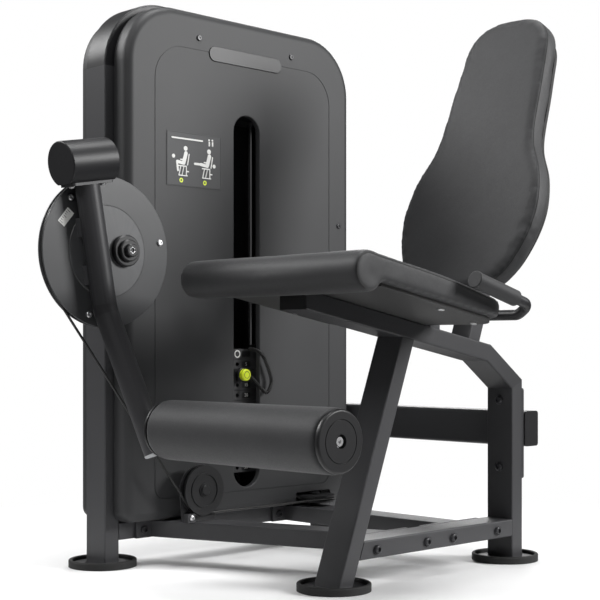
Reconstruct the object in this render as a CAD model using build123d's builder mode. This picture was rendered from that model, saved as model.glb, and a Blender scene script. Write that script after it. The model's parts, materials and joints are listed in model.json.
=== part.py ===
from build123d import *
import math
import os

# Leg extension machine. Millimetres, +Z up, the user faces -Y, the weight tower stands at -X.
# Every sketch is laid out from the seat's centre plane (x), the seat's front foot (y) and the floor (z);
# SEAT_X and FOOT_Y move that layout so that the whole machine stands centred on the origin.
SEAT_X = 207.0
FOOT_Y = -129.8

# ---- frame tube
TUBE_W = 80.0
TUBE_D = 43.0
WALL = 3.0
TUBE_R = 4.0
RAIL_LO = 65.0
RAIL_HI = 108.0
FOOT_TOP = 9.0

# ---- tower
TOWER_X = -638.0
TOWER_HALF = TUBE_W / 2
TOWER_FACE = TOWER_X + TOWER_HALF
FRONT_LEG_Y = -188.0
REAR_LEG_Y = 636.0
TOWER_TOP = 1410.0
BOW_R = 175.0

# ---- shrouds, depths measured from the tower's centre plane
SHROUD_FACE = 100.0
SHROUD_BACK = 48.0
SHROUD_WALL = 4.0
SHROUD_TOP_R = 152.0
SHROUD_LOW_R = 27.0
SHROUD_EDGE_R = 22.0
GROOVE_Y = (-82.0, 532.0)
GROOVE_Z = (164.0, 1300.0)
GROOVE_TOP_R = 88.0
GROOVE_LOW_R = 30.0
GROOVE_W = 2.5
GROOVE_DEEP = 1.2
SHROUD_Y = (-166.0, 614.0)
SHROUD_Z = (111.0, 1397.0)
SLOT_Y = 224.5
SLOT_HALF = 45.0
SLOT_Z = (175.0, 1150.0)
SIDE_SCREWS = [(-121.0, 883.0), (569.0, 883.0), (-121.0, 336.0), (569.0, 336.0)]
TOP_SCREWS = [(61.0, 1330.0), (385.0, 1330.0)]

# ---- weight stack
STACK_Y = 224.0
STACK_W = 300.0
STACK_D = 124.0
PITCH = 27.4
PLATE_0 = 222.6
FIXED = 9
LIFTED = 2
ROD_GAP = 105.0
ROD_R = 12.5
ROD_TOP = 1162.0
STEM_R = 12.0
PIN_R = 5.0
PIN_Z = PLATE_0 + PITCH * FIXED
STACK_FACE = TOWER_X + STACK_D / 2
HEAD_TOP = PLATE_0 + PITCH * (FIXED + LIFTED) + PITCH / 2

# ---- cable and pulleys
CABLE_R = 3.0
GROOVE_GAP = 0.4
CABLE_X = -480.0
LOW_PULLEY = (23.0, 186.0)
LOW_R = 58.0
TURN_R = 50.0
RISE_R = 40.0
TURN_Y = 520.0
TOP_Z = 1240.0
AXLE_R = 8.0
BORE_R = 8.05
LOW_Z = LOW_PULLEY[1] - LOW_R

# ---- lever and cam
PIVOT = (-224.0, 770.0)
CAM = (-273.0, 766.0)
CAM_R = 178.0
CAM_CABLE_R = 174.0
# room under the cable: part way through the swing the straight run leans in towards the cam
CAM_GROOVE_GAP = 2.4
CAM_FACE = -471.0
CAM_RAISED = 1.5
CAM_CORE_R = 132.0
LEVER_R = 28.5
LEVER_WALL = 3.0
LEVER_LEAN = 0.175
BEND = (-440.0, -301.5, 630.0)
ROLLER = (-346.0, -251.0, 357.6)
WEIGHT = (-440.0, -360.0, 964.0)
WEIGHT_R = 52.0
WEIGHT_L = 128.0
ROLLER_R = 69.0
ROLLER_X = (-271.0, 262.0)
SHAFT_R = 20.0

# ---- seat
SEAT_RISE = 645.0
SEAT_SLOPE = 0.185
SEAT_HALF = 279.0
BOARD_T = 8.0
BACK_Y = 475.9
BACK_Z = 900.0
BACK_LEAN = 0.366
BACK_T = 56.0

# ---- handles
GRIP_X = 305.0
BAR_R = 12.0
BAR_Y = 316.0
BAR_Z = 615.0


def side_plane(x):
    """Sketch y and z, extruding towards +X."""
    return Plane(origin=(SEAT_X + x, FOOT_Y, 0), x_dir=(0, 1, 0), z_dir=(1, 0, 0))


def floor_plane(z):
    """Sketch x and y, extruding upwards."""
    return Plane(origin=(SEAT_X, FOOT_Y, z), x_dir=(1, 0, 0), z_dir=(0, 0, 1))


def end_plane(y):
    """Sketch x (reversed) and z, extruding towards +Y."""
    return Plane(origin=(SEAT_X, FOOT_Y + y, 0), x_dir=(-1, 0, 0), z_dir=(0, 1, 0))


def at(x, y, z):
    return Vector(SEAT_X + x, FOOT_Y + y, z)


NODES = {}


def save(item, name):
    """Keep a finished piece; pieces saved under one name stay separate solids of one node."""
    NODES.setdefault(name, []).extend(item.part.solids())


def write_nodes():
    for name, solids in NODES.items():
        node = Compound(solids)
        node.label = name
        export_step(node, "parts/" + name + ".step")


def cylinder_on(plane, spots, radius, height, chamfer_by=0.0, bore=0.0):
    """Discs at the given sketch spots, each extruded by height, with an optional bevel and bore."""
    with BuildPart() as item:
        with BuildSketch(plane):
            with Locations(*spots):
                Circle(radius)
                if bore:
                    Circle(bore, mode=Mode.SUBTRACT)
        extrude(amount=height)
        if chamfer_by:
            far = plane.offset(height)
            rims = [e for e in item.edges().filter_by(GeomType.CIRCLE)
                    if abs(far.to_local_coords(e.center()).Z) < 0.01 and e.radius > radius - 0.01]
            chamfer(rims, chamfer_by)
    return item


def bolt_heads(plane, spots, radius=10.0, height=6.5, socket=5.5):
    """Dome-head socket bolts seen from outside; the shank is inside the joint."""
    with BuildPart() as item:
        with BuildSketch(plane):
            with Locations(*spots):
                Circle(radius)
        extrude(amount=height)
        far = plane.offset(height)
        rims = [e for e in item.edges().filter_by(GeomType.CIRCLE)
                if abs(far.to_local_coords(e.center()).Z) < 0.01]
        fillet(rims, height * 0.6)
        with BuildSketch(far):
            with Locations(*spots):
                RegularPolygon(socket, 6)
        extrude(amount=-height * 0.5, mode=Mode.SUBTRACT)
    return item


def lerp(a, b, t):
    return (a[0] + (b[0] - a[0]) * t, a[1] + (b[1] - a[1]) * t)


def mitred_tube(corners, x0, x1):
    """Hollow tube between planes x0 and x1. corners: one long side a, b then the other side c, d."""
    a, b, c, d = corners
    t = WALL / TUBE_D
    inner = [lerp(a, d, t), lerp(b, c, t), lerp(c, b, t), lerp(d, a, t)]
    with BuildPart() as item:
        with BuildSketch(side_plane(x0)):
            with BuildLine():
                Polyline(a, b, c, d, close=True)
            make_face()
        extrude(amount=x1 - x0)
        longs = [e for e in item.edges() if e.length > 55 and abs(e.tangent_at(0.5).X) < 0.5]
        fillet(longs, TUBE_R)
        with BuildSketch(side_plane(x0 + WALL)):
            with BuildLine():
                Polyline(*inner, close=True)
            make_face()
        extrude(amount=x1 - x0 - 2 * WALL, mode=Mode.SUBTRACT)
    return item


def box_tube_z(x, y0, y1, z0, z1):
    """Upright rectangular tube."""
    with BuildPart() as item:
        with BuildSketch(floor_plane(z0)):
            with Locations((x, (y0 + y1) / 2)):
                RectangleRounded(TUBE_W, y1 - y0, TUBE_R)
                RectangleRounded(TUBE_W - 2 * WALL, y1 - y0 - 2 * WALL, 1.5, mode=Mode.SUBTRACT)
        extrude(amount=z1 - z0)
    return item


def box_tube_y(x, z0, z1, y0, y1):
    """Rectangular tube running front to back."""
    with BuildPart() as item:
        with BuildSketch(end_plane(y0)):
            with Locations((-x, (z0 + z1) / 2)):
                RectangleRounded(TUBE_W, z1 - z0, TUBE_R)
                RectangleRounded(TUBE_W - 2 * WALL, z1 - z0 - 2 * WALL, 1.5, mode=Mode.SUBTRACT)
        extrude(amount=y1 - y0)
    return item


# ------------------------------------------------------------------ feet
FOOT_SPOTS = [(0, 4), (0, 627), (TOWER_X, -166), (TOWER_X, 614)]


def make_feet():
    with BuildPart() as cups:
        with BuildSketch(floor_plane(0)):
            with Locations(*FOOT_SPOTS):
                Circle(84)
        extrude(amount=18)
        with BuildSketch(floor_plane(5)):
            with Locations(*FOOT_SPOTS):
                Circle(75)
        extrude(amount=13, mode=Mode.SUBTRACT)
        fillet(cups.edges().group_by(Axis.Z)[-1], 3.5)
    save(cups, "foot_cups")
    save(cylinder_on(floor_plane(5), FOOT_SPOTS, 74.5, FOOT_TOP - 5, 1.0), "frame_plates")


# ------------------------------------------------------------------ tower frame
BOW_LOW = TOWER_TOP - BOW_R


def bow_face(inset):
    """Area under the bow's outline moved inwards by inset, drawn on the tower's far face."""
    mid_y = (FRONT_LEG_Y + REAR_LEG_Y) / 2
    reach = (REAR_LEG_Y - FRONT_LEG_Y) / 2 - inset
    with BuildSketch(side_plane(TOWER_X - TOWER_HALF)) as face:
        with BuildLine():
            Polyline((mid_y - reach, BOW_LOW), (mid_y - reach, TOWER_TOP - inset),
                     (mid_y + reach, TOWER_TOP - inset), (mid_y + reach, BOW_LOW), close=True)
        make_face()
        fillet(face.vertices().group_by(Axis.Y)[-1], BOW_R - inset - 0.01)
    return face.sketch


def make_tower():
    leg = box_tube_z(TOWER_X, FRONT_LEG_Y, FRONT_LEG_Y + TUBE_D, FOOT_TOP, TOWER_TOP - BOW_R)
    save(leg, "tower_legs")
    leg = box_tube_z(TOWER_X, REAR_LEG_Y - TUBE_D, REAR_LEG_Y, FOOT_TOP, TOWER_TOP - BOW_R)
    save(leg, "tower_legs")
    rail = box_tube_y(TOWER_X, RAIL_LO, RAIL_HI, FRONT_LEG_Y + TUBE_D, REAR_LEG_Y - TUBE_D)
    save(rail, "tower_base_rail")

    with BuildPart() as bow:
        extrude(bow_face(0), amount=TUBE_W)
        extrude(bow_face(TUBE_D), amount=TUBE_W, mode=Mode.SUBTRACT)
        fillet([e for e in bow.edges() if abs(e.tangent_at(0.5).X) < 0.5
                and e.center().Z > BOW_LOW + 5], TUBE_R)
        void = extrude(bow_face(WALL), amount=TUBE_W - 2 * WALL, mode=Mode.PRIVATE)
        core = extrude(bow_face(TUBE_D - WALL), amount=TUBE_W - 2 * WALL, mode=Mode.PRIVATE)
        hollow = Pos(WALL, 0, 0) * (void - core)
        add(hollow, mode=Mode.SUBTRACT)
    save(bow, "tower_top_bow")


# ------------------------------------------------------------------ shrouds
def shroud_outline(plane, inset, top_r, bottom_r):
    """Rounded shroud outline in y and z on the given side plane."""
    y0, y1 = SHROUD_Y[0] + inset, SHROUD_Y[1] - inset
    z0, z1 = SHROUD_Z[0] + inset, SHROUD_Z[1] - inset
    with BuildSketch(plane) as face:
        with BuildLine():
            Polyline((y0, z0), (y0, z1), (y1, z1), (y1, z0), close=True)
        make_face()
        fillet(face.vertices().group_by(Axis.Y)[-1], top_r)
        fillet(face.vertices().group_by(Axis.Y)[0], bottom_r)
    return face


def groove_outline(x, inset):
    """Outline of the styling groove on a shroud face, moved inwards by inset."""
    y0, y1 = GROOVE_Y[0] + inset, GROOVE_Y[1] - inset
    z0, z1 = GROOVE_Z[0] + inset, GROOVE_Z[1] - inset
    with BuildSketch(side_plane(x)) as face:
        with BuildLine():
            Polyline((y0, z0), (y0, z1), (y1, z1), (y1, z0), close=True)
        make_face()
        fillet(face.vertices().group_by(Axis.Y)[-1], GROOVE_TOP_R - inset)
        fillet(face.vertices().group_by(Axis.Y)[0], GROOVE_LOW_R - inset)
    return face.sketch


def make_shroud(side, name, with_slot):
    """side +1 faces the seat, side -1 the far side."""
    face_x = TOWER_X + side * SHROUD_FACE
    back_x = TOWER_X + side * SHROUD_BACK
    depth = abs(face_x - back_x)
    x0 = min(face_x, back_x)
    with BuildPart() as shroud:
        extrude(shroud_outline(side_plane(x0), 0, SHROUD_TOP_R, SHROUD_LOW_R).sketch, amount=depth)
        group = shroud.faces().sort_by(Axis.X)[-1 if side > 0 else 0]
        fillet(group.edges(), SHROUD_EDGE_R)
        inner_x0 = x0 if side > 0 else x0 + SHROUD_WALL
        void = shroud_outline(side_plane(inner_x0), SHROUD_WALL, SHROUD_TOP_R - SHROUD_WALL,
                              SHROUD_LOW_R - SHROUD_WALL).sketch
        cavity = extrude(void, amount=depth - SHROUD_WALL, mode=Mode.PRIVATE)
        cavity_face = cavity.faces().sort_by(Axis.X)[-1 if side > 0 else 0]
        cavity = cavity.fillet(SHROUD_EDGE_R - SHROUD_WALL, cavity_face.edges())
        add(cavity, mode=Mode.SUBTRACT)
        # shallow styling groove on the face
        cut_x = face_x - GROOVE_DEEP if side > 0 else face_x
        whole = extrude(groove_outline(cut_x, 0), amount=GROOVE_DEEP, mode=Mode.PRIVATE)
        island = extrude(groove_outline(cut_x, GROOVE_W), amount=GROOVE_DEEP, mode=Mode.PRIVATE)
        add(whole - island, mode=Mode.SUBTRACT)
        if with_slot:
            slot_mid = (SLOT_Z[0] + SLOT_Z[1]) / 2
            slot_len = SLOT_Z[1] - SLOT_Z[0]
            with BuildSketch(side_plane(face_x - 14)):
                with Locations((SLOT_Y, slot_mid)):
                    SlotOverall(slot_len + 6, 2 * SLOT_HALF + 6, rotation=90)
            extrude(amount=10)
            with BuildSketch(side_plane(face_x - 20)):
                with Locations((SLOT_Y, slot_mid)):
                    SlotOverall(slot_len, 2 * SLOT_HALF, rotation=90)
            extrude(amount=24, mode=Mode.SUBTRACT)
            rim = [e for e in shroud.edges() if abs(e.center().X - SEAT_X - face_x) < 0.01
                   and abs(e.center().Y - FOOT_Y - SLOT_Y) < SLOT_HALF + 1
                   and SLOT_Z[0] - 1 < e.center().Z < SLOT_Z[1] + 1
                   and (e.geom_type == GeomType.CIRCLE or e.length > 500)]
            fillet(rim, 3)
            # notch in the lower edge for the turning pulley and its cable
            with BuildSketch(side_plane(back_x - 2)):
                with Locations((470, 111)):
                    RectangleRounded(134, 70, 8)
            extrude(amount=depth + 4, mode=Mode.SUBTRACT)
    save(shroud, name)


def make_shroud_trim():
    face_x = TOWER_X + SHROUD_FACE
    with BuildPart() as badge:
        with BuildSketch(side_plane(face_x)):
            with Locations((221, 1297.5)):
                SlotOverall(254, 39)
        extrude(amount=2.5)
        fillet(badge.faces().sort_by(Axis.X)[-1].edges(), 1.2)
    save(badge, "shroud_badge")
    with BuildPart() as placard:
        with BuildSketch(side_plane(face_x)):
            with Locations((44.5, 1016.5)):
                RectangleRounded(179, 137, 3)
        extrude(amount=1.2)
    save(placard, "placard")
    screws = bolt_heads(side_plane(face_x), SIDE_SCREWS + TOP_SCREWS, 8, 3.5, 3.2)
    save(screws, "frame_bolts")
    # stand-off brackets from the frame to both shrouds
    with BuildPart() as brackets:
        for side in (1, -1):
            tab_x = TOWER_X + side * 35
            x0 = tab_x - 3
            for y, z in SIDE_SCREWS:
                leg_y = FRONT_LEG_Y + TUBE_D if y < 0 else REAR_LEG_Y - TUBE_D
                edge = y + 12 if y < 0 else y - 12
                with BuildSketch(side_plane(x0)):
                    with Locations(((leg_y + edge) / 2, z)):
                        Rectangle(abs(leg_y - edge), 30)
                extrude(amount=6)
            for y, z in TOP_SCREWS:
                with BuildSketch(side_plane(x0)):
                    with Locations((y, (z - 12 + TOWER_TOP - TUBE_D) / 2)):
                        Rectangle(30, TOWER_TOP - TUBE_D - z + 12)
                extrude(amount=6)
            reach = SHROUD_FACE - SHROUD_WALL - 38
            stud_x = tab_x + 3 if side > 0 else TOWER_X - SHROUD_FACE + SHROUD_WALL
            with BuildSketch(side_plane(stud_x)):
                with Locations(*(SIDE_SCREWS + TOP_SCREWS)):
                    Circle(6)
            extrude(amount=reach)
    save(brackets, "frame_plates")


# ------------------------------------------------------------------ weight stack
def stack_plate(z0, z1, stem_hole=True):
    """One weight plate with its guide rod, stem and pin holes."""
    with BuildPart() as plate:
        with BuildSketch(floor_plane(z0)):
            with Locations((TOWER_X, STACK_Y)):
                RectangleRounded(STACK_D, STACK_W, 6)
            with Locations((TOWER_X, STACK_Y - ROD_GAP), (TOWER_X, STACK_Y + ROD_GAP)):
                Circle(ROD_R + 0.5, mode=Mode.SUBTRACT)
            with Locations((TOWER_X, STACK_Y)):
                Circle(STEM_R + 0.5 if stem_hole else STEM_R, mode=Mode.SUBTRACT)
        extrude(amount=z1 - z0)
        outer = [e for e in plate.edges().filter_by(GeomType.LINE)
                 if abs(e.tangent_at(0.5).Z) < 0.5 and e.length > 20]
        chamfer(outer, 1.4)
        with BuildSketch(side_plane(TOWER_X)):
            with Locations((STACK_Y, (z0 + z1) / 2)):
                Circle(PIN_R + 0.5)
        extrude(amount=STACK_D / 2 + 1, mode=Mode.SUBTRACT)
    return plate.part


def make_stack():
    with BuildPart() as fixed:
        for i in range(FIXED):
            z = PLATE_0 + PITCH * i - PITCH / 2
            add(stack_plate(z, z + PITCH - 0.001))
    save(fixed, "weight_plates_fixed")
    with BuildPart() as lifted:
        for i in range(FIXED, FIXED + LIFTED):
            z = PLATE_0 + PITCH * i - PITCH / 2
            add(stack_plate(z + 0.3, z + PITCH - 0.001 + 0.3))
    save(lifted, "weight_plates_lifted")
    head_z = PLATE_0 + PITCH * (FIXED + LIFTED) - PITCH / 2 + 0.3
    with BuildPart() as head:
        with BuildSketch(floor_plane(head_z)):
            with Locations((TOWER_X, STACK_Y)):
                RectangleRounded(STACK_D, STACK_W, 6)
                Circle(STEM_R, mode=Mode.SUBTRACT)
            with Locations((TOWER_X, STACK_Y - ROD_GAP), (TOWER_X, STACK_Y + ROD_GAP)):
                Circle(17, mode=Mode.SUBTRACT)
        extrude(amount=HEAD_TOP - head_z)
    save(head, "weight_plates_lifted")
    with BuildPart() as bushes:
        with BuildSketch(floor_plane(head_z)):
            with Locations((TOWER_X, STACK_Y - ROD_GAP), (TOWER_X, STACK_Y + ROD_GAP)):
                Circle(17)
                Circle(ROD_R + 0.05, mode=Mode.SUBTRACT)
        extrude(amount=HEAD_TOP - head_z)
        with BuildSketch(floor_plane(HEAD_TOP)):
            with Locations((TOWER_X, STACK_Y - ROD_GAP), (TOWER_X, STACK_Y + ROD_GAP)):
                Circle(23)
                Circle(ROD_R + 0.05, mode=Mode.SUBTRACT)
        extrude(amount=12)
    save(bushes, "guide_bushings")
    # selector stem with one cross hole for each plate it can lift
    stem_low = PLATE_0 - PITCH / 2 + 4
    with BuildPart() as stem:
        with BuildSketch(floor_plane(stem_low)):
            with Locations((TOWER_X, STACK_Y)):
                Circle(STEM_R)
        extrude(amount=HEAD_TOP + 20 - stem_low)
        with BuildSketch(side_plane(TOWER_X - 6)):
            with Locations(*[(STACK_Y, PLATE_0 + PITCH * i) for i in range(FIXED + LIFTED)]):
                Circle(PIN_R + 0.5)
        extrude(amount=30, mode=Mode.SUBTRACT)
    save(stem, "selector_stem")
    with BuildPart() as terminal:
        with BuildSketch(floor_plane(HEAD_TOP + 20)):
            with Locations((TOWER_X, STACK_Y)):
                RegularPolygon(13, 6)
        extrude(amount=14)
        with BuildSketch(floor_plane(HEAD_TOP + 34)):
            with Locations((TOWER_X, STACK_Y)):
                Circle(7)
        extrude(amount=42)
    save(terminal, "selector_stem")
    # selector pin: shank into the stem, knob and ring in front of the stack
    with BuildPart() as pin:
        with BuildSketch(side_plane(TOWER_X - 2)):
            with Locations((STACK_Y, PIN_Z)):
                Circle(PIN_R)
        extrude(amount=STACK_D / 2 + 16)
    save(pin, "selector_pin")
    knob = cylinder_on(side_plane(STACK_FACE + 14), [(STACK_Y, PIN_Z)], 19, 12, 2)
    save(knob, "selector_pin")
    knob = cylinder_on(side_plane(STACK_FACE + 26), [(STACK_Y, PIN_Z)], 15.5, 13, 3)
    save(knob, "pin_knob")
    # number plates beside the holes
    label_spots = [(STACK_Y + 31, PLATE_0 + PITCH * i) for i in range(FIXED)]
    with BuildPart() as labels:
        with BuildSketch(side_plane(STACK_FACE)):
            with Locations(*label_spots):
                RectangleRounded(30, 15, 2)
        extrude(amount=0.5)
    save(labels, "plate_labels_fixed")
    label_spots = [(STACK_Y + 31, PLATE_0 + PITCH * i + 0.3) for i in range(FIXED, FIXED + LIFTED + 1)]
    with BuildPart() as labels:
        with BuildSketch(side_plane(STACK_FACE)):
            with Locations(*label_spots):
                RectangleRounded(30, 15, 2)
            with Locations((STACK_Y, PLATE_0 + PITCH * (FIXED + LIFTED) + 0.3)):
                Circle(10)
                Circle(6.5, mode=Mode.SUBTRACT)
        extrude(amount=0.5)
    save(labels, "plate_labels_lifted")
    # guide rods, base channel and rubber bumpers
    rods = [(TOWER_X, STACK_Y - ROD_GAP), (TOWER_X, STACK_Y + ROD_GAP)]
    rod = cylinder_on(floor_plane(RAIL_HI), rods, ROD_R, ROD_TOP - RAIL_HI)
    save(rod, "guide_rods")
    with BuildPart() as tie:
        with BuildSketch(floor_plane(ROD_TOP - 12)):
            with Locations((TOWER_X, (FRONT_LEG_Y + REAR_LEG_Y) / 2)):
                Rectangle(70, REAR_LEG_Y - FRONT_LEG_Y - 2 * TUBE_D)
            with Locations(*rods):
                Circle(ROD_R, mode=Mode.SUBTRACT)
            with Locations((TOWER_X, STACK_Y), (TOWER_X, TURN_Y)):
                Circle(10, mode=Mode.SUBTRACT)
        extrude(amount=12)
    save(tie, "rod_tie_plate")
    with BuildPart() as base:
        with BuildSketch(end_plane(STACK_Y - 140)):
            with Locations((-TOWER_X, 129)):
                RectangleRounded(90, 42, 4)
                RectangleRounded(82, 34, 2, mode=Mode.SUBTRACT)
        extrude(amount=280)
        with BuildSketch(floor_plane(RAIL_HI - 1)):
            with Locations(*rods):
                Circle(ROD_R)
        extrude(amount=50, mode=Mode.SUBTRACT)
    save(base, "stack_base")
    bumper = cylinder_on(floor_plane(150), rods, 30, PLATE_0 - PITCH / 2 - 150, 3, ROD_R)
    save(bumper, "stack_bumpers")


# ------------------------------------------------------------------ pulleys
def pulley(plane, centre, cable_r, width, ring=0.0):
    """Grooved pulley centred on the plane, bored for its axle."""
    floor = cable_r - CABLE_R - GROOVE_GAP
    rim = cable_r + CABLE_R + 1
    low = plane.offset(-width / 2)
    with BuildPart() as item:
        with BuildSketch(low):
            with Locations(centre):
                Circle(floor)
        extrude(amount=width)
        with BuildSketch(low):
            with Locations(centre):
                Circle(rim)
        extrude(amount=width / 2 - 4)
        with BuildSketch(plane.offset(4)):
            with Locations(centre):
                Circle(rim)
        extrude(amount=width / 2 - 4)
        if ring:
            with BuildSketch(plane.offset(width / 2)):
                with Locations(centre):
                    Circle(ring)
            extrude(amount=2.5)
            with BuildSketch(plane.offset(width / 2)):
                with Locations(centre):
                    Circle(ring - 3.5)
                    Circle(17, mode=Mode.SUBTRACT)
            extrude(amount=2.5, mode=Mode.SUBTRACT)
        with BuildSketch(low.offset(-1)):
            with Locations(centre):
                Circle(BORE_R)
        extrude(amount=width + 6, mode=Mode.SUBTRACT)
    return item


def make_pulleys():
    save(pulley(side_plane(CABLE_X), LOW_PULLEY, LOW_R, 20, 43), "pulley_low")
    save(pulley(floor_plane(LOW_Z), (CABLE_X - TURN_R, TURN_Y - TURN_R), TURN_R, 18), "pulley_turn")
    rise = (-(TOWER_X + RISE_R), LOW_Z + RISE_R)
    save(pulley(end_plane(TURN_Y), rise, RISE_R, 18), "pulley_rise")
    save(pulley(side_plane(TOWER_X), (TURN_Y - TURN_R, TOP_Z), TURN_R, 18), "pulley_top_rear")
    save(pulley(side_plane(TOWER_X), (STACK_Y + TURN_R, TOP_Z), TURN_R, 18), "pulley_top_stack")

    # low pulley: plate behind it, foot on the diagonal rail, lug with a clamp bolt
    with BuildPart() as bracket:
        with BuildSketch(side_plane(CABLE_X - 16)):
            with Locations(LOW_PULLEY):
                Circle(61)
            with BuildLine():
                Polyline((-30, RAIL_HI), (-36, 175), (80, 175), (72, RAIL_HI), close=True)
            make_face()
        extrude(amount=5)
        with BuildSketch(side_plane(CABLE_X - 16)):
            with Locations((-17, 119)):
                Rectangle(22, 22)
        extrude(amount=24)
        with BuildSketch(side_plane(CABLE_X - 11)):
            with Locations(LOW_PULLEY):
                Circle(13)
        extrude(amount=0.7)
    save(bracket, "pulley_brackets")
    axle = cylinder_on(side_plane(CABLE_X - 10.3), [LOW_PULLEY], AXLE_R, 22)
    save(axle, "pulley_axles")
    cap = cylinder_on(side_plane(CABLE_X + 12.8), [LOW_PULLEY], 13, 5, 2)
    save(cap, "pulley_axles")
    save(bolt_heads(side_plane(CABLE_X + 8), [(-17, 120)], 7, 5, 3.4), "pale_screws")

    # turning pulley: upright axle on the rear cross rail, with a spacer under the pulley
    spot = (CABLE_X - TURN_R, TURN_Y - TURN_R)
    with BuildPart() as axle:
        with BuildSketch(floor_plane(RAIL_HI)):
            with Locations(spot):
                Circle(15)
        extrude(amount=LOW_Z - 9.4 - RAIL_HI)
        with BuildSketch(floor_plane(LOW_Z - 9.4)):
            with Locations(spot):
                Circle(AXLE_R)
        extrude(amount=19)
        with BuildSketch(floor_plane(LOW_Z + 9.6)):
            with Locations(spot):
                Circle(12)
        extrude(amount=5)
    save(axle, "pulley_axles")

    # rising pulley: two cheeks on the base rail and a cross axle
    with BuildPart() as bracket:
        for y in (TURN_Y - 14, TURN_Y + 10):
            with BuildSketch(end_plane(y)):
                with BuildLine():
                    Polyline((-TOWER_X - 38, RAIL_HI), (-TOWER_X + 30, RAIL_HI), (-TOWER_X - 20, 190),
                             (-TOWER_X - 55, 190), (-TOWER_X - 55, 140), close=True)
                make_face()
            extrude(amount=4)
        with BuildSketch(end_plane(TURN_Y - 14)):
            with Locations(rise):
                Circle(AXLE_R)
        extrude(amount=28)
    save(bracket, "pulley_brackets")

    # top pulleys: a clevis and axle each, welded under the bow
    with BuildPart() as bracket:
        for y in (TURN_Y - TURN_R, STACK_Y + TURN_R):
            for x in (TOWER_X - 14, TOWER_X + 10):
                with BuildSketch(side_plane(x)):
                    with Locations((y, (TOWER_TOP - TUBE_D + TOP_Z - 22) / 2)):
                        Rectangle(44, TOWER_TOP - TUBE_D - TOP_Z + 22)
                extrude(amount=4)
            with BuildSketch(side_plane(TOWER_X - 14)):
                with Locations((y, TOP_Z)):
                    Circle(AXLE_R)
            extrude(amount=28)
        bow = extrude(bow_face(0), amount=TUBE_W, mode=Mode.PRIVATE)
        under = extrude(bow_face(TUBE_D), amount=TUBE_W, mode=Mode.PRIVATE)
        add(bow - under, mode=Mode.SUBTRACT)
    save(bracket, "pulley_brackets")


# ------------------------------------------------------------------ cables
def tangent_line():
    """Straight cable from the cam to the low pulley, both wrapped on their front (-Y) side."""
    dy = LOW_PULLEY[0] - CAM[0]
    dz = LOW_PULLEY[1] - CAM[1]
    gap = math.hypot(dy, dz)
    u = (dy / gap, dz / gap)
    w = (u[1], -u[0])
    k = (CAM_CABLE_R - LOW_R) / gap
    q = math.sqrt(1 - k * k)
    n = (k * u[0] + q * w[0], k * u[1] + q * w[1])
    start = (CAM[0] + CAM_CABLE_R * n[0], CAM[1] + CAM_CABLE_R * n[1])
    end = (LOW_PULLEY[0] + LOW_R * n[0], LOW_PULLEY[1] + LOW_R * n[1])
    return start, end, math.degrees(math.atan2(n[1], n[0])) % 360


SPAN_EXTRA = 30.0
SPAN_SHORT = 6.0


def make_cables():
    start, end, angle = tangent_line()
    length = math.hypot(end[0] - start[0], end[1] - start[1])
    d = ((end[0] - start[0]) / length, (end[1] - start[1]) / length)
    with BuildPart() as span:
        p0 = at(CABLE_X, start[0] - d[0] * SPAN_EXTRA, start[1] - d[1] * SPAN_EXTRA)
        p1 = at(CABLE_X, end[0] - d[0] * SPAN_SHORT, end[1] - d[1] * SPAN_SHORT)
        with BuildSketch(Plane(origin=p0, z_dir=p1 - p0)):
            Circle(CABLE_R)
        extrude(amount=(p1 - p0).length)
    save(span, "cable_span")

    # cable wrapped on the cam, from its anchor to where the straight run takes over
    wrap_end = angle - math.degrees(SPAN_EXTRA / CAM_CABLE_R) - 0.6
    wrap_start = 100.0
    with BuildPart() as wrap:
        with BuildLine(side_plane(CABLE_X)) as path:
            CenterArc(CAM, CAM_CABLE_R, wrap_start, wrap_end - wrap_start)
        with BuildSketch(Plane(origin=path.line @ 0, z_dir=path.line % 0)):
            Circle(CABLE_R)
        sweep()
    save(wrap, "cam_cable")

    # frame side: under the low pulley, round the turning pulley, up the tower and over the top
    slope_y = (end[1] - LOW_Z) / d[1]
    corner_y = end[0] - d[0] * slope_y
    with BuildPart() as drive:
        with BuildLine() as path:
            FilletPolyline(
                at(CABLE_X, end[0] - d[0] * (SPAN_SHORT - 0.2), end[1] - d[1] * (SPAN_SHORT - 0.2)),
                at(CABLE_X, corner_y, LOW_Z),
                at(CABLE_X, TURN_Y, LOW_Z),
                at(TOWER_X, TURN_Y, LOW_Z),
                at(TOWER_X, TURN_Y, TOP_Z + TURN_R),
                at(TOWER_X, STACK_Y, TOP_Z + TURN_R),
                at(TOWER_X, STACK_Y, TOP_Z - 4),
                radius=[LOW_R, TURN_R, RISE_R, TURN_R, TURN_R])
        with BuildSketch(Plane(origin=path.line @ 0, z_dir=path.line % 0)):
            Circle(CABLE_R)
        sweep()
    print("drive cable length", round(sum(e.length for e in path.edges()), 1))
    print("cam wrap angle", round(wrap_start, 1), round(wrap_end, 1), "tangent", round(angle, 2))
    save(drive, "drive_cable")
    low = HEAD_TOP + 76
    stack = cylinder_on(floor_plane(low), [(TOWER_X, STACK_Y)], CABLE_R, TOP_Z - 4 - low)
    save(stack, "stack_cable")


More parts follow.
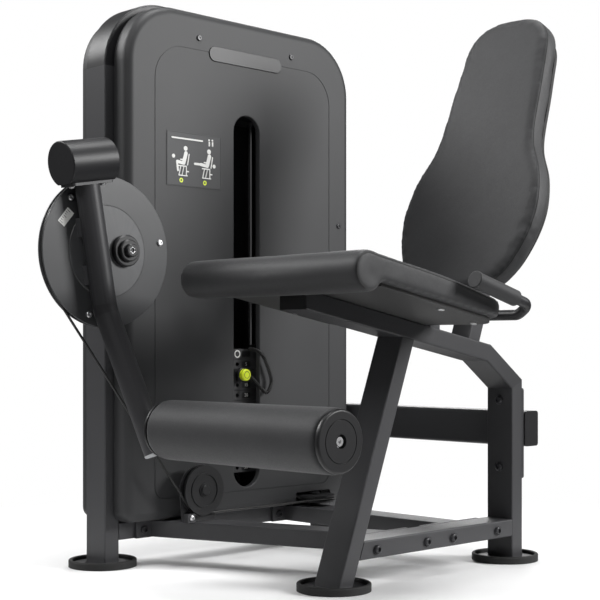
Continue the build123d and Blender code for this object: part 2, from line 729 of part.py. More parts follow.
# ------------------------------------------------------------------ cam and pivot
def make_cam():
    with BuildPart() as housing:
        with BuildSketch(side_plane(-660)):
            with Locations(PIVOT):
                Circle(34)
        extrude(amount=160)
        with BuildSketch(side_plane(-656)):
            with Locations((-194, PIVOT[1])):
                Rectangle(12, 76)
        extrude(amount=52)
        with BuildSketch(side_plane(-661)):
            with Locations(PIVOT):
                Circle(SHAFT_R + 0.05)
        extrude(amount=162, mode=Mode.SUBTRACT)
    save(housing, "pivot_housing")
    with BuildPart() as shaft:
        with BuildSketch(side_plane(-668)):
            with Locations(PIVOT):
                Circle(28)
        extrude(amount=7.7)
        with BuildSketch(side_plane(-660.3)):
            with Locations(PIVOT):
                Circle(SHAFT_R)
        extrude(amount=660.3 + CAM_FACE + CAM_RAISED)
    save(shaft, "pivot_shaft")
    save(cylinder_on(side_plane(-499.7), [PIVOT], 28, 10.7, 0, SHAFT_R), "pivot_shaft")

    with BuildPart() as plate:
        with BuildSketch(side_plane(CAM_FACE - 3)):
            with Locations(CAM):
                Circle(CAM_R)
        extrude(amount=3)
        chamfer(plate.faces().sort_by(Axis.X)[-1].edges(), 0.8)
        with BuildSketch(side_plane(CAM_FACE)):
            with Locations(CAM):
                Circle(107.6)
        extrude(amount=CAM_RAISED)
        chamfer(plate.faces().sort_by(Axis.X)[-1].edges(), 1.0)
        with BuildSketch(side_plane(CAM_FACE - 4)):
            with Locations(PIVOT):
                Circle(SHAFT_R)
        extrude(amount=8, mode=Mode.SUBTRACT)
    save(plate, "cam_front_plate")
    with BuildPart() as core:
        with BuildSketch(side_plane(CAM_FACE - 15)):
            with Locations(CAM):
                Circle(CAM_CABLE_R - CABLE_R - CAM_GROOVE_GAP)
                Circle(CAM_CORE_R, mode=Mode.SUBTRACT)
            with Locations(PIVOT):
                Circle(44)
                Circle(SHAFT_R, mode=Mode.SUBTRACT)
        extrude(amount=12)
    save(core, "cam_back_plate")
    with BuildPart() as plate:
        with BuildSketch(side_plane(CAM_FACE - 18)):
            with Locations(CAM):
                Circle(CAM_R)
            with Locations(PIVOT):
                Circle(SHAFT_R, mode=Mode.SUBTRACT)
        extrude(amount=3)
    save(plate, "cam_back_plate")
    spots = []
    for turn in (10.5, 130.5, 250.5):
        a = math.radians(turn)
        spots.append((CAM[0] + 157 * math.cos(a), CAM[1] + 157 * math.sin(a)))
    save(bolt_heads(side_plane(CAM_FACE), spots, 7.5, 5, 3.6), "lever_bolts")
    with BuildPart() as label:
        with BuildSketch(side_plane(CAM_FACE)):
            with BuildLine():
                Polyline((-410, 830), (-383, 862), (-366, 849), (-393, 817), close=True)
            make_face()
        extrude(amount=0.6)
    save(label, "scale_label")
    hub_x = CAM_FACE + CAM_RAISED
    with BuildPart() as hub:
        with BuildSketch(side_plane(hub_x)):
            with Locations(PIVOT):
                Circle(37.5)
        extrude(amount=13)
        chamfer(hub.faces().sort_by(Axis.X)[-1].edges(), 3)
        with BuildSketch(side_plane(hub_x + 13)):
            with Locations(PIVOT):
                Circle(26)
        extrude(amount=10)
        chamfer(hub.faces().sort_by(Axis.X)[-1].edges(), 2.5)
    save(hub, "cam_hub")
    save(bolt_heads(side_plane(hub_x + 23), [PIVOT], 15, 9, 7), "lever_bolts")


# ------------------------------------------------------------------ lever, counterweight, roller
def lever_frame():
    """Upward direction of the upper lever and the direction of its lower run."""
    up = (Vector(*WEIGHT) - Vector(*BEND)).normalized()
    down = (Vector(*ROLLER) - Vector(*BEND)).normalized()
    return up, down


def make_lever():
    up, down = lever_frame()
    across = Vector(0, up.Z, -up.Y)
    weight = at(*WEIGHT)
    top = weight - up * WEIGHT_R
    roller = at(*ROLLER)
    bottom = roller + down * 60
    with BuildPart() as lever:
        with BuildLine() as path:
            FilletPolyline(top, at(*BEND), bottom, radius=90)
        with BuildSketch(Plane(origin=path.line @ 0, z_dir=path.line % 0)):
            Circle(LEVER_R)
            Circle(LEVER_R - LEVER_WALL, mode=Mode.SUBTRACT)
        sweep()
    save(lever, "lever_tube")
    plug_plane = Plane(origin=bottom, z_dir=down)
    with BuildPart() as plug:
        with BuildSketch(plug_plane):
            Circle(LEVER_R)
        extrude(amount=5)
        chamfer(plug.faces().sort_by(Axis.Z)[0].edges(), 2)
    save(plug, "lever_end_plug")
    # saddles that weld the lever to the cam face
    with BuildPart() as saddles:
        for z in (820.0, 712.0):
            y = BEND[1] - LEVER_LEAN * (z - BEND[2])
            centre = at(CAM_FACE + CAM_RAISED, y, z)
            with BuildSketch(Plane(origin=centre, x_dir=up, z_dir=(1, 0, 0))):
                Rectangle(44, 50)
            extrude(amount=26)
        with BuildSketch(Plane(origin=top, z_dir=up * -1)):
            Circle(LEVER_R)
        extrude(amount=300, mode=Mode.SUBTRACT)
    save(saddles, "lever_plates")
    # counterweight: a bar lying across the lever, flat underneath
    weight_plane = Plane(origin=weight - across * (WEIGHT_L / 2), x_dir=(1, 0, 0), z_dir=across)
    with BuildPart() as bar:
        with BuildSketch(weight_plane):
            Circle(WEIGHT_R)
        extrude(amount=WEIGHT_L)
        ends = [e for e in bar.edges().filter_by(GeomType.CIRCLE)]
        fillet(ends, 3)
        with BuildSketch(Plane(origin=weight - up * 46, z_dir=up * -1)):
            Rectangle(200, 200)
        extrude(amount=20, mode=Mode.SUBTRACT)
        with BuildSketch(side_plane(CAM_FACE - 22)):
            with Locations(CAM):
                Circle(CAM_R + 3)
        extrude(amount=25.5, mode=Mode.SUBTRACT)
    save(bar, "counterweight")
    plate_plane = Plane(origin=weight - up * 46, x_dir=(1, 0, 0), z_dir=up * -1)
    with BuildPart() as plate:
        with BuildSketch(plate_plane):
            RectangleRounded(54, 112, 6)
        extrude(amount=6)
    save(plate, "lever_plates")
    screws = bolt_heads(plate_plane.offset(6), [(0, -43), (0, 43)], 7, 4.5, 3.4)
    save(screws, "lever_bolts")

    # roller axle, notched to sit against the lever
    with BuildPart() as axle:
        with BuildSketch(side_plane(ROLLER[0])):
            with Locations((ROLLER[1], ROLLER[2])):
                Circle(12)
        extrude(amount=258 - ROLLER[0])
        with BuildSketch(Plane(origin=roller - down * 100, z_dir=down)):
            Circle(LEVER_R)
        extrude(amount=200, mode=Mode.SUBTRACT)
    save(axle, "roller_axle")
    spot = [(ROLLER[1], ROLLER[2])]
    x0, x1 = ROLLER_X
    save(cylinder_on(side_plane(x0), spot, 17, x1 - x0, 0, 12.05), "roller_core")
    with BuildPart() as foam:
        with BuildSketch(side_plane(x0)):
            with Locations(*spot):
                Circle(ROLLER_R)
                Circle(17, mode=Mode.SUBTRACT)
        extrude(amount=x1 - x0)
        rims = [e for e in foam.edges().filter_by(GeomType.CIRCLE) if e.radius > 60]
        fillet(rims, 8)
    save(foam, "roller_foam")
    with BuildPart() as caps:
        with BuildSketch(side_plane(x1)):
            with Locations(*spot):
                Circle(64)
                Circle(14.5, mode=Mode.SUBTRACT)
        extrude(amount=9)
        rims = [e for e in caps.edges().filter_by(GeomType.CIRCLE)
                if e.radius > 60 and e.center().X > SEAT_X + x1 + 8]
        fillet(rims, 5)
        with BuildSketch(side_plane(x1 + 7.5)):
            with Locations(*spot):
                Circle(44.5)
                Circle(42.5, mode=Mode.SUBTRACT)
        extrude(amount=3, mode=Mode.SUBTRACT)
        with BuildSketch(side_plane(x0 - 9)):
            with Locations(*spot):
                Circle(64)
                Circle(14.5, mode=Mode.SUBTRACT)
        extrude(amount=9)
        rims = [e for e in caps.edges().filter_by(GeomType.CIRCLE)
                if e.radius > 60 and e.center().X < SEAT_X + x0 - 8]
        fillet(rims, 5)
    save(caps, "roller_core")
    with BuildPart() as collars:
        with BuildSketch(side_plane(258)):
            with Locations(*spot):
                Circle(9.5)
        extrude(amount=9)
        with BuildSketch(side_plane(263)):
            with Locations(*spot):
                RegularPolygon(4.5, 6)
        extrude(amount=5, mode=Mode.SUBTRACT)
    save(collars, "lever_bolts")
    save(cylinder_on(side_plane(x0 - 25), spot, 22, 15.6, 0, 12), "roller_axle")


# ------------------------------------------------------------------ seat frame
def meet(p, u, q, v):
    """Point where the line through p along u crosses the line through q along v."""
    det = u[0] * v[1] - u[1] * v[0]
    t = ((q[0] - p[0]) * v[1] - (q[1] - p[1]) * v[0]) / det
    return (p[0] + u[0] * t, p[1] + u[1] * t)


def seat_top(y):
    return SEAT_RISE - SEAT_SLOPE * y


def seat_side_plane(x):
    """Sketch along the sloping seat (s) and out of it (h), extruding towards +X."""
    k = math.hypot(1, SEAT_SLOPE)
    return Plane(origin=at(x, 0, SEAT_RISE), x_dir=(0, 1 / k, -SEAT_SLOPE / k), z_dir=(1, 0, 0))


def seat_top_plane(h):
    """Plane lying on the sloping rail, h above it."""
    k = math.hypot(1, SEAT_SLOPE)
    normal = Vector(0, SEAT_SLOPE / k, 1 / k)
    return Plane(origin=at(0, 0, SEAT_RISE) + normal * h, x_dir=(1, 0, 0), z_dir=normal)


def back_plane(h):
    """Plane of the back pad's front face moved h backwards; y runs up the pad."""
    k = math.hypot(1, BACK_LEAN)
    normal = Vector(0, 1 / k, -BACK_LEAN / k)
    return Plane(origin=at(0, BACK_Y, BACK_Z) + normal * h, x_dir=(-1, 0, 0), z_dir=normal)


def make_seat_frame():
    half = TUBE_W / 2
    lean = 0.3765
    leg_half = TUBE_D / 2 * math.hypot(1, lean)
    rail_drop = TUBE_D * math.hypot(1, SEAT_SLOPE)
    rail_dir = (1, -SEAT_SLOPE)
    rail_top = (0, SEAT_RISE)
    rail_low = (0, SEAT_RISE - rail_drop)
    leg_dir = (lean, 1)
    leg_front = (4 - leg_half + lean * (FOOT_TOP - 15), FOOT_TOP)
    leg_back = (4 + leg_half + lean * (FOOT_TOP - 15), FOOT_TOP)
    # front leg, leaning back
    front_up = meet(leg_front, leg_dir, rail_low, rail_dir)
    back_up = meet(leg_back, leg_dir, rail_low, rail_dir)
    save(mitred_tube([leg_front, front_up, back_up, leg_back], -half, half), "seat_legs")
    # slanting corner tube between the top rail and the rear leg
    slant = (-146, 101)
    outer_low = (648, 460.4)
    k = math.hypot(*slant)
    inner = (outer_low[0] - 101 / k * TUBE_D, outer_low[1] - 146 / k * TUBE_D)
    inner_low = meet(inner, slant, (605, 0), (0, 1))
    outer_up = meet(outer_low, slant, rail_top, rail_dir)
    inner_up = meet(inner, slant, rail_low, rail_dir)
    save(mitred_tube([outer_low, outer_up, inner_up, inner_low], -half, half), "seat_rails")
    save(mitred_tube([(648, FOOT_TOP), outer_low, inner_low, (605, FOOT_TOP)], -half, half), "seat_legs")
    nose = -120
    save(mitred_tube([(nose, seat_top(nose)), outer_up, inner_up, (nose, seat_top(nose) - rail_drop)],
                     -half, half), "seat_rails")
    foot_lo = meet(leg_back, leg_dir, (0, RAIL_LO), (1, 0))
    foot_hi = meet(leg_back, leg_dir, (0, RAIL_HI), (1, 0))
    save(mitred_tube([foot_hi, (605, RAIL_HI), (605, RAIL_LO), foot_lo], -half, half), "seat_rails")
    with BuildPart() as cap:
        with BuildSketch(side_plane(-half)):
            with BuildLine():
                Polyline((nose, seat_top(nose)), (nose - 4, seat_top(nose - 4)),
                         (nose - 4, seat_top(nose - 4) - rail_drop), (nose, seat_top(nose) - rail_drop),
                         close=True)
            make_face()
        extrude(amount=TUBE_W)
    save(cap, "tube_end_caps")


def cross_rail(y_tower, y_seat, name):
    """Horizontal rail between the tower's end plate and the seat frame's end plate."""
    x0, x1 = TOWER_FACE + 8, -48.0
    run = x1 - x0
    skew = math.hypot(run, y_seat - y_tower) / run
    half = TUBE_W / 2 * skew
    thin = half - WALL * skew
    with BuildPart() as rail:
        with BuildSketch(floor_plane(RAIL_LO)):
            with BuildLine():
                Polyline((x0, y_tower - half), (x1, y_seat - half), (x1, y_seat + half),
                         (x0, y_tower + half), close=True)
            make_face()
        extrude(amount=RAIL_HI - RAIL_LO)
        fillet([e for e in rail.edges() if e.length > 300], TUBE_R)
        with BuildSketch(floor_plane(RAIL_LO + WALL)):
            with BuildLine():
                Polyline((x0, y_tower - thin), (x1, y_seat - thin), (x1, y_seat + thin),
                         (x0, y_tower + thin), close=True)
            make_face()
        extrude(amount=RAIL_HI - RAIL_LO - 2 * WALL, mode=Mode.SUBTRACT)
    save(rail, name)


def make_cross_rails():
    cross_rail(-9.0, 189.0, "cross_rails")
    cross_rail(452.0, 457.0, "cross_rails")
    mid_z = (RAIL_LO + RAIL_HI) / 2
    depth = RAIL_HI - RAIL_LO
    with BuildPart() as plates:
        with BuildSketch(side_plane(TOWER_FACE)):
            with Locations((-12, mid_z)):
                Rectangle(172, depth)
            with Locations((452, mid_z)):
                Rectangle(172, depth)
        extrude(amount=8)
        with BuildSketch(side_plane(-48)):
            with Locations((188.5, mid_z)):
                Rectangle(222, depth)
            with Locations((457, mid_z)):
                Rectangle(220, depth)
        extrude(amount=8)
    save(plates, "frame_plates")
    with BuildPart() as bolts:
        add(bolt_heads(side_plane(40), [(102, 85), (275, 85), (371, 85), (543, 85)], 11, 8).part)
        add(bolt_heads(side_plane(TOWER_FACE + 8), [(-75, 85), (53, 85), (388, 85), (516, 85)], 10, 7).part)
        back = Plane(origin=at(0, 605, 0), x_dir=(1, 0, 0), z_dir=(0, -1, 0))
        add(bolt_heads(back, [(0, 408), (0, 238)], 11, 8).part)
    save(bolts, "frame_bolts")


def make_rear_beam():
    y0, y1 = 655.0, 710.0
    z_mid = 334.0
    x0, x1 = TOWER_X - TOWER_HALF, 40.0
    with BuildPart() as beam:
        with BuildSketch(side_plane(x0)):
            with Locations(((y0 + y1) / 2, z_mid)):
                RectangleRounded(y1 - y0, 90, 8)
                RectangleRounded(y1 - y0 - 6, 84, 5, mode=Mode.SUBTRACT)
        extrude(amount=x1 - x0)
    save(beam, "rear_beam")
    with BuildPart() as ends:
        for x in (x0 - 3, x1):
            with BuildSketch(side_plane(x)):
                with Locations(((y0 + y1) / 2, z_mid)):
                    RectangleRounded(y1 - y0, 90, 8)
            extrude(amount=3)
    save(ends, "tube_end_caps")
    with BuildPart() as plates:
        with BuildSketch(end_plane(648)):
            with Locations((0, 323)):
                RectangleRounded(78, 230, 6)
        extrude(amount=7)
        with BuildSketch(end_plane(REAR_LEG_Y)):
            with Locations((-TOWER_X, z_mid)):
                RectangleRounded(76, 84, 6)
        extrude(amount=y0 - REAR_LEG_Y)
    save(plates, "frame_plates")


# ------------------------------------------------------------------ seat, back rest, handles
def make_seat():
    with BuildPart() as board:
        with BuildSketch(seat_top_plane(0)) as outline:
            with Locations((0, 80)):
                Rectangle(510, 400)
            fillet(outline.vertices().group_by(Axis.Y)[-1], 60)
        extrude(amount=BOARD_T)
    save(board, "cushion_boards")
    spots = [(226, 107), (-226, 107), (193, 262), (-193, 262)]
    under = seat_top_plane(0)
    under = Plane(origin=under.origin, x_dir=(-1, 0, 0), z_dir=under.z_dir * -1)
    screws = bolt_heads(under, spots, 8, 3.5, 3.2)
    save(screws, "pale_screws")
    with BuildPart() as pad:
        with BuildSketch(seat_side_plane(-SEAT_HALF)):
            with BuildLine():
                crown = Spline((-181, 61.6), (-75, 62.8), (50, 62), (137, 58), (230, 49.5), (290, 42))
                Polyline(crown @ 1, (290, BOARD_T), (-181, BOARD_T), crown @ 0)
            make_face()
            with Locations((-181.3, 17.8)):
                Circle(43.8)
        extrude(amount=2 * SEAT_HALF)
        corners = [e for e in pad.edges() if abs(e.tangent_at(0.5).X) < 0.1 and e.length < 40
                   and e.center().Y > FOOT_Y + 270]
        fillet(corners, 66)
    save(pad, "seat_pad")


BACK_HALF = [(64, 513.5), (104, 491), (128, 452), (136, 395), (143, 315), (149, 215), (162, 148),
             (190, 90), (207, 32), (213, -20), (206, -80), (187, -137), (150, -196), (80, -229)]


def back_outline(scale, shift):
    right = [(x * scale, (y - shift) * scale + shift) for x, y in BACK_HALF]
    top = (0, (521 - shift) * scale + shift)
    low = (0, (-236 - shift) * scale + shift)
    left = [(-x, y) for x, y in reversed(right)]
    return [top] + right + [low] + left


def make_back():
    with BuildPart() as pad:
        with BuildSketch(back_plane(0)):
            with BuildLine():
                Spline(*back_outline(1.0, 142), periodic=True)
            make_face()
        extrude(amount=BACK_T)
    save(pad, "back_pad")
    with BuildPart() as board:
        with BuildSketch(back_plane(BACK_T)):
            with BuildLine():
                Spline(*back_outline(0.93, 142), periodic=True)
            make_face()
        extrude(amount=10)
    save(board, "cushion_boards")
    # upright behind the back rest, standing on the top rail
    front = BACK_T + 10 + 19
    deep = 44
    k = math.hypot(1, BACK_LEAN)
    lean = (BACK_LEAN, 1)
    a_low = meet((BACK_Y + front * k, BACK_Z), lean, (0, SEAT_RISE), (1, -SEAT_SLOPE))
    b_low = meet((BACK_Y + (front + deep) * k, BACK_Z), lean, (0, SEAT_RISE), (1, -SEAT_SLOPE))
    rise = 190.0
    a_up = (BACK_Y + front / k + rise * BACK_LEAN / k, BACK_Z - front * BACK_LEAN / k + rise / k)
    b_up = (BACK_Y + (front + deep) / k + rise * BACK_LEAN / k,
            BACK_Z - (front + deep) * BACK_LEAN / k + rise / k)
    with BuildPart() as post:
        with BuildSketch(side_plane(-30)):
            with BuildLine():
                Polyline(a_low, a_up, b_up, b_low, close=True)
            make_face()
        extrude(amount=60)
        fillet([e for e in post.edges() if e.length > 200], TUBE_R)
        t = WALL / deep
        with BuildSketch(side_plane(-30 + WALL)):
            with BuildLine():
                Polyline(lerp(a_low, b_low, t), lerp(a_up, b_up, t), lerp(b_up, a_up, t),
                         lerp(b_low, a_low, t), close=True)
            make_face()
        extrude(amount=60 - 2 * WALL, mode=Mode.SUBTRACT)
    save(post, "back_post")
    with BuildPart() as cap:
        with BuildSketch(side_plane(-30)):
            with BuildLine():
                step = (BACK_LEAN / k * 4, 4 / k)
                Polyline(a_up, (a_up[0] + step[0], a_up[1] + step[1]),
                         (b_up[0] + step[0], b_up[1] + step[1]), b_up, close=True)
            make_face()
        extrude(amount=60)
    save(cap, "tube_end_caps")
    with BuildPart() as blocks:
        with BuildSketch(back_plane(BACK_T + 10)):
            with Locations((0, -130), (0, 120)):
                RectangleRounded(100, 60, 5)
        extrude(amount=19)
    save(blocks, "back_post")


def make_handles():
    y0, z0 = 128.0, 686.0
    y1, z1 = BAR_Y, 637.0
    with BuildPart() as bar:
        with BuildLine() as path:
            FilletPolyline(
                at(-GRIP_X, y0, z0), at(-GRIP_X, y1, z1), at(-GRIP_X + 32, BAR_Y, BAR_Z),
                at(GRIP_X - 32, BAR_Y, BAR_Z), at(GRIP_X, y1, z1), at(GRIP_X, y0, z0), radius=26)
        with BuildSketch(Plane(origin=path.line @ 0, z_dir=path.line % 0)):
            Circle(BAR_R)
            Circle(BAR_R - 2.5, mode=Mode.SUBTRACT)
        sweep()
    save(bar, "handlebar")
    along = Vector(0, y1 - y0, z1 - z0).normalized()
    with BuildPart() as grips:
        for x in (-GRIP_X, GRIP_X):
            with BuildSketch(Plane(origin=at(x, y0, z0) + along * 1, z_dir=along)):
                Circle(18.3)
                Circle(BAR_R, mode=Mode.SUBTRACT)
            extrude(amount=138)
    save(grips, "handle_grips")
    with BuildPart() as caps:
        for x in (-GRIP_X, GRIP_X):
            with BuildSketch(Plane(origin=at(x, y0, z0), z_dir=along * -1)):
                Circle(19)
            extrude(amount=7)
        fillet(caps.faces().sort_by(Axis.Y)[0:2].edges(), 2.5)
    save(caps, "handle_grips")
    with BuildPart() as saddle:
        with BuildSketch(side_plane(-30)):
            with BuildLine():
                Polyline((298, seat_top(298)), (298, BAR_Z), (334, BAR_Z), (334, seat_top(334)), close=True)
            make_face()
        extrude(amount=60)
        with BuildSketch(side_plane(-31)):
            with Locations((BAR_Y, BAR_Z)):
                Circle(BAR_R)
        extrude(amount=62, mode=Mode.SUBTRACT)
    save(saddle, "back_post")


# the last point stands beside the pin's collar, clear of the pin's way out
LANYARD = [(-576, 262, 538), (-525, 262, 538), (-522, 292, 476), (-522, 300, 446), (-522, 282, 416),
           (-528, 262, 436), (-556, 249.4, 469.2)]
LANYARD_R = 5.5
LANYARD_MAX_BEND = 90.0


def make_lanyard():
    """Coiled cord from the head plate, out through the slot and back to the selector pin."""
    points = [at(*p) for p in LANYARD]
    runs = [(b - a).length for a, b in zip(points, points[1:])]
    radii = []
    for i in range(1, len(points) - 1):
        before = (points[i] - points[i - 1]).normalized()
        after = (points[i + 1] - points[i]).normalized()
        turn = math.acos(max(-1.0, min(1.0, before.dot(after))))
        radii.append(0.45 * min(runs[i - 1], runs[i]) / math.tan(turn / 2))
    radii = [min(r, LANYARD_MAX_BEND) for r in radii]
    with BuildPart() as cord:
        with BuildLine() as path:
            FilletPolyline(*points, radius=radii)
        with BuildSketch(Plane(origin=path.line @ 0, z_dir=path.line % 0)):
            Circle(LANYARD_R)
        sweep()
    print("lanyard length", round(sum(e.length for e in path.edges()), 1))
    save(cord, "pin_lanyard")


os.makedirs("parts", exist_ok=True)
make_feet()
make_tower()
make_shroud(1, "front_shroud", True)
make_shroud(-1, "rear_shroud", False)
make_shroud_trim()
make_stack()
make_pulleys()
make_cables()
make_cam()
make_lever()
make_seat_frame()
make_cross_rails()
make_rear_beam()
make_seat()
make_back()
make_handles()
make_lanyard()
write_nodes()
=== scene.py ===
import json
import math
import bmesh
import bpy
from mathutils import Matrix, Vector
from mathutils.bvhtree import BVHTree
from mathutils.kdtree import KDTree


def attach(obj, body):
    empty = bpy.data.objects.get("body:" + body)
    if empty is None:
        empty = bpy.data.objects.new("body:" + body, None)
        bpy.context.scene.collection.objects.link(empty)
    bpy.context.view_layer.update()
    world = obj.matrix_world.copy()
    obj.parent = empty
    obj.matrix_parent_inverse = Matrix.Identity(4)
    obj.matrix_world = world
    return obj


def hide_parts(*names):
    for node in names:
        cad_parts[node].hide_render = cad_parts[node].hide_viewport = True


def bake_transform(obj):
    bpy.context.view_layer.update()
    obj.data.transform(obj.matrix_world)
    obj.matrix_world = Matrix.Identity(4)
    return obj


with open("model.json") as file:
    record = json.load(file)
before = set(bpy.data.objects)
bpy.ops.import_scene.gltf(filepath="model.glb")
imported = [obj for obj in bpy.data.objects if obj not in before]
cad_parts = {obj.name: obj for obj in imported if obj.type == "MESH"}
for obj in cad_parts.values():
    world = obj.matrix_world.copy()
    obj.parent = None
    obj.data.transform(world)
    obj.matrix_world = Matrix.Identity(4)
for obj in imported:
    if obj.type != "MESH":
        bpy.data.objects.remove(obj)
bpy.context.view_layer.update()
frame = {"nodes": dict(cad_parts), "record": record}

# The layout's origin (seat centre plane, front foot) in the row frame, as in the CAD, in metres.
SEAT_X = 0.207
FOOT_Y = -0.1298


def at(x, y, z):
    """Layout millimetres to a point in the row frame."""
    return Vector((SEAT_X + x / 1000, FOOT_Y + y / 1000, z / 1000))


# ------------------------------------------------------------------ camera, floor and light
CAMERA_PLACE = (2104.6, -2135.9, 543.9)
CAMERA_TURN = 45.622
# strength of the white sky and floor for light rays; the camera sees both as plain white
SKY_LIGHT = 0.12
FLOOR_LIGHT = 0.12
FLOOR_FADE = (0.5, 1.7)
FLOOR_HALF = 14
FLOOR_DROP = 0.0005
# name, place, point lit, size and power in watts
LIGHTS = [("key", (1.6, -4.2, 3.9), (0, 0, 0.7), 1.8, 75),
          ("side", (4.2, 3.0, 2.7), (-0.4, 0, 0.95), 2.0, 330),
          ("rim", (-3.2, -2.4, 3.7), (0.1, 0.1, 0.8), 1.6, 180),
          ("top", (0.2, 0.3, 4.4), (0, 0, 0.5), 1.8, 115),
          ("back", (-3.2, 3.6, 2.8), (0, 0, 0.7), 2.0, 110)]


def make_camera():
    data = bpy.data.cameras.new("camera")
    data.lens = 80.65
    data.sensor_width = 36
    data.shift_x = -0.0136
    data.shift_y = 0.0776
    data.clip_end = 60
    camera = bpy.data.objects.new("camera", data)
    camera.location = at(*CAMERA_PLACE)
    camera.rotation_euler = (math.radians(90), 0, math.radians(CAMERA_TURN))
    bpy.context.collection.objects.link(camera)
    bpy.context.scene.camera = camera


def area_light(name, place, target, size, watts):
    data = bpy.data.lights.new(name, "AREA")
    data.energy = watts
    data.shape = "RECTANGLE"
    data.size = size
    data.size_y = size
    lamp = bpy.data.objects.new(name, data)
    lamp.location = place
    lamp.rotation_euler = (Vector(target) - Vector(place)).to_track_quat("-Z", "Y").to_euler()
    bpy.context.collection.objects.link(lamp)


def dim_for_light(tree, node, strength):
    """Full strength for what the camera sees, and the given strength for the light it gives."""
    ray = tree.nodes.new("ShaderNodeLightPath")
    level = tree.nodes.new("ShaderNodeMapRange")
    level.inputs["To Min"].default_value = strength
    level.inputs["To Max"].default_value = 1.0
    tree.links.new(ray.outputs["Is Camera Ray"], level.inputs["Value"])
    tree.links.new(level.outputs["Result"], node.inputs["Strength"])


def make_stage():
    mesh = bpy.data.meshes.new("floor")
    half = FLOOR_HALF
    mesh.from_pydata([(-half, -half, 0), (half, -half, 0), (half, half, 0), (-half, half, 0)],
                     [], [(0, 1, 2, 3)])
    floor = bpy.data.objects.new("floor", mesh)
    floor.location.z = -FLOOR_DROP
    bpy.context.collection.objects.link(floor)
    mesh.materials.append(floor_paint())
    world = bpy.data.worlds.new("studio")
    world.use_nodes = True
    tree = world.node_tree
    sky = tree.nodes["Background"]
    sky.inputs["Color"].default_value = (1, 1, 1, 1)
    dim_for_light(tree, sky, SKY_LIGHT)
    bpy.context.scene.world = world
    bpy.context.scene.view_settings.view_transform = "Standard"
    for light in LIGHTS:
        area_light(*light)



def floor_paint():
    """Pale matt floor that turns into the white background some way from the machine."""
    paint = bpy.data.materials.new("floor_paint")
    paint.use_nodes = True
    tree = paint.node_tree
    shader = tree.nodes["Principled BSDF"]
    shader.inputs["Base Color"].default_value = (0.9, 0.9, 0.9, 1)
    shader.inputs["Roughness"].default_value = 0.8
    glow = tree.nodes.new("ShaderNodeEmission")
    place = tree.nodes.new("ShaderNodeTexCoord")
    reach = tree.nodes.new("ShaderNodeVectorMath")
    reach.operation = "LENGTH"
    fade = tree.nodes.new("ShaderNodeMapRange")
    fade.interpolation_type = "SMOOTHSTEP"
    fade.inputs["From Min"].default_value = FLOOR_FADE[0]
    fade.inputs["From Max"].default_value = FLOOR_FADE[1]
    both = tree.nodes.new("ShaderNodeMixShader")
    dim_for_light(tree, glow, FLOOR_LIGHT)
    tree.links.new(place.outputs["Object"], reach.inputs[0])
    tree.links.new(reach.outputs["Value"], fade.inputs["Value"])
    tree.links.new(fade.outputs["Result"], both.inputs["Fac"])
    tree.links.new(shader.outputs["BSDF"], both.inputs[1])
    tree.links.new(glow.outputs["Emission"], both.inputs[2])
    tree.links.new(both.outputs["Shader"], tree.nodes["Material Output"].inputs["Surface"])
    return paint


# ------------------------------------------------------------------ materials
SPECULAR = 0.32
METAL_SPECULAR = 0.5
STREAK = (1.0, 1.0, 40.0)
NOISE_ROUGH = 0.55
# the part of a noise's range that is used, and how sharp an edge is before it is rubbed
NOISE_SPAN = (0.25, 0.75)
WEAR_SPAN = (0.53, 0.62)
# grain cells for each metre
MOULD_CELLS = 520.0
PEBBLE_CELLS = 620.0


def new_material(name, color, rough, metallic=0.0):
    mat = bpy.data.materials.new(name)
    mat.use_nodes = True
    shader = mat.node_tree.nodes["Principled BSDF"]
    shader.inputs["Base Color"].default_value = (*color, 1)
    shader.inputs["Roughness"].default_value = rough
    shader.inputs["Metallic"].default_value = metallic
    shader.inputs["Specular IOR Level"].default_value = METAL_SPECULAR if metallic else SPECULAR
    return mat, mat.node_tree, shader


def coords(tree):
    return tree.nodes.new("ShaderNodeTexCoord").outputs["Object"]


def noise(tree, source, scale, detail=3.0):
    node = tree.nodes.new("ShaderNodeTexNoise")
    node.inputs["Scale"].default_value = scale
    node.inputs["Detail"].default_value = detail
    node.inputs["Roughness"].default_value = NOISE_ROUGH
    tree.links.new(source, node.inputs["Vector"])
    return node.outputs["Fac"]


def remap(tree, value, low, high):
    """Stretches the middle of a noise's range to run from low to high."""
    node = tree.nodes.new("ShaderNodeMapRange")
    node.inputs["From Min"].default_value = NOISE_SPAN[0]
    node.inputs["From Max"].default_value = NOISE_SPAN[1]
    node.inputs["To Min"].default_value = low
    node.inputs["To Max"].default_value = high
    tree.links.new(value, node.inputs["Value"])
    return node.outputs["Result"]


def blend_colors(tree, value, dark, light):
    node = tree.nodes.new("ShaderNodeMix")
    node.data_type = "RGBA"
    node.inputs["A"].default_value = (*dark, 1)
    node.inputs["B"].default_value = (*light, 1)
    tree.links.new(value, node.inputs["Factor"])
    return node.outputs["Result"]


def bump(tree, shader, height, distance, strength, below=None):
    node = tree.nodes.new("ShaderNodeBump")
    node.inputs["Strength"].default_value = strength
    node.inputs["Distance"].default_value = distance
    tree.links.new(height, node.inputs["Height"])
    if below is not None:
        tree.links.new(below, node.inputs["Normal"])
    tree.links.new(node.outputs["Normal"], shader.inputs["Normal"])


def edge_wear(tree):
    """1 on worn convex edges, 0 elsewhere."""
    geometry = tree.nodes.new("ShaderNodeNewGeometry")
    ramp = tree.nodes.new("ShaderNodeMapRange")
    ramp.inputs["From Min"].default_value = WEAR_SPAN[0]
    ramp.inputs["From Max"].default_value = WEAR_SPAN[1]
    tree.links.new(geometry.outputs["Pointiness"], ramp.inputs["Value"])
    return ramp.outputs["Result"]


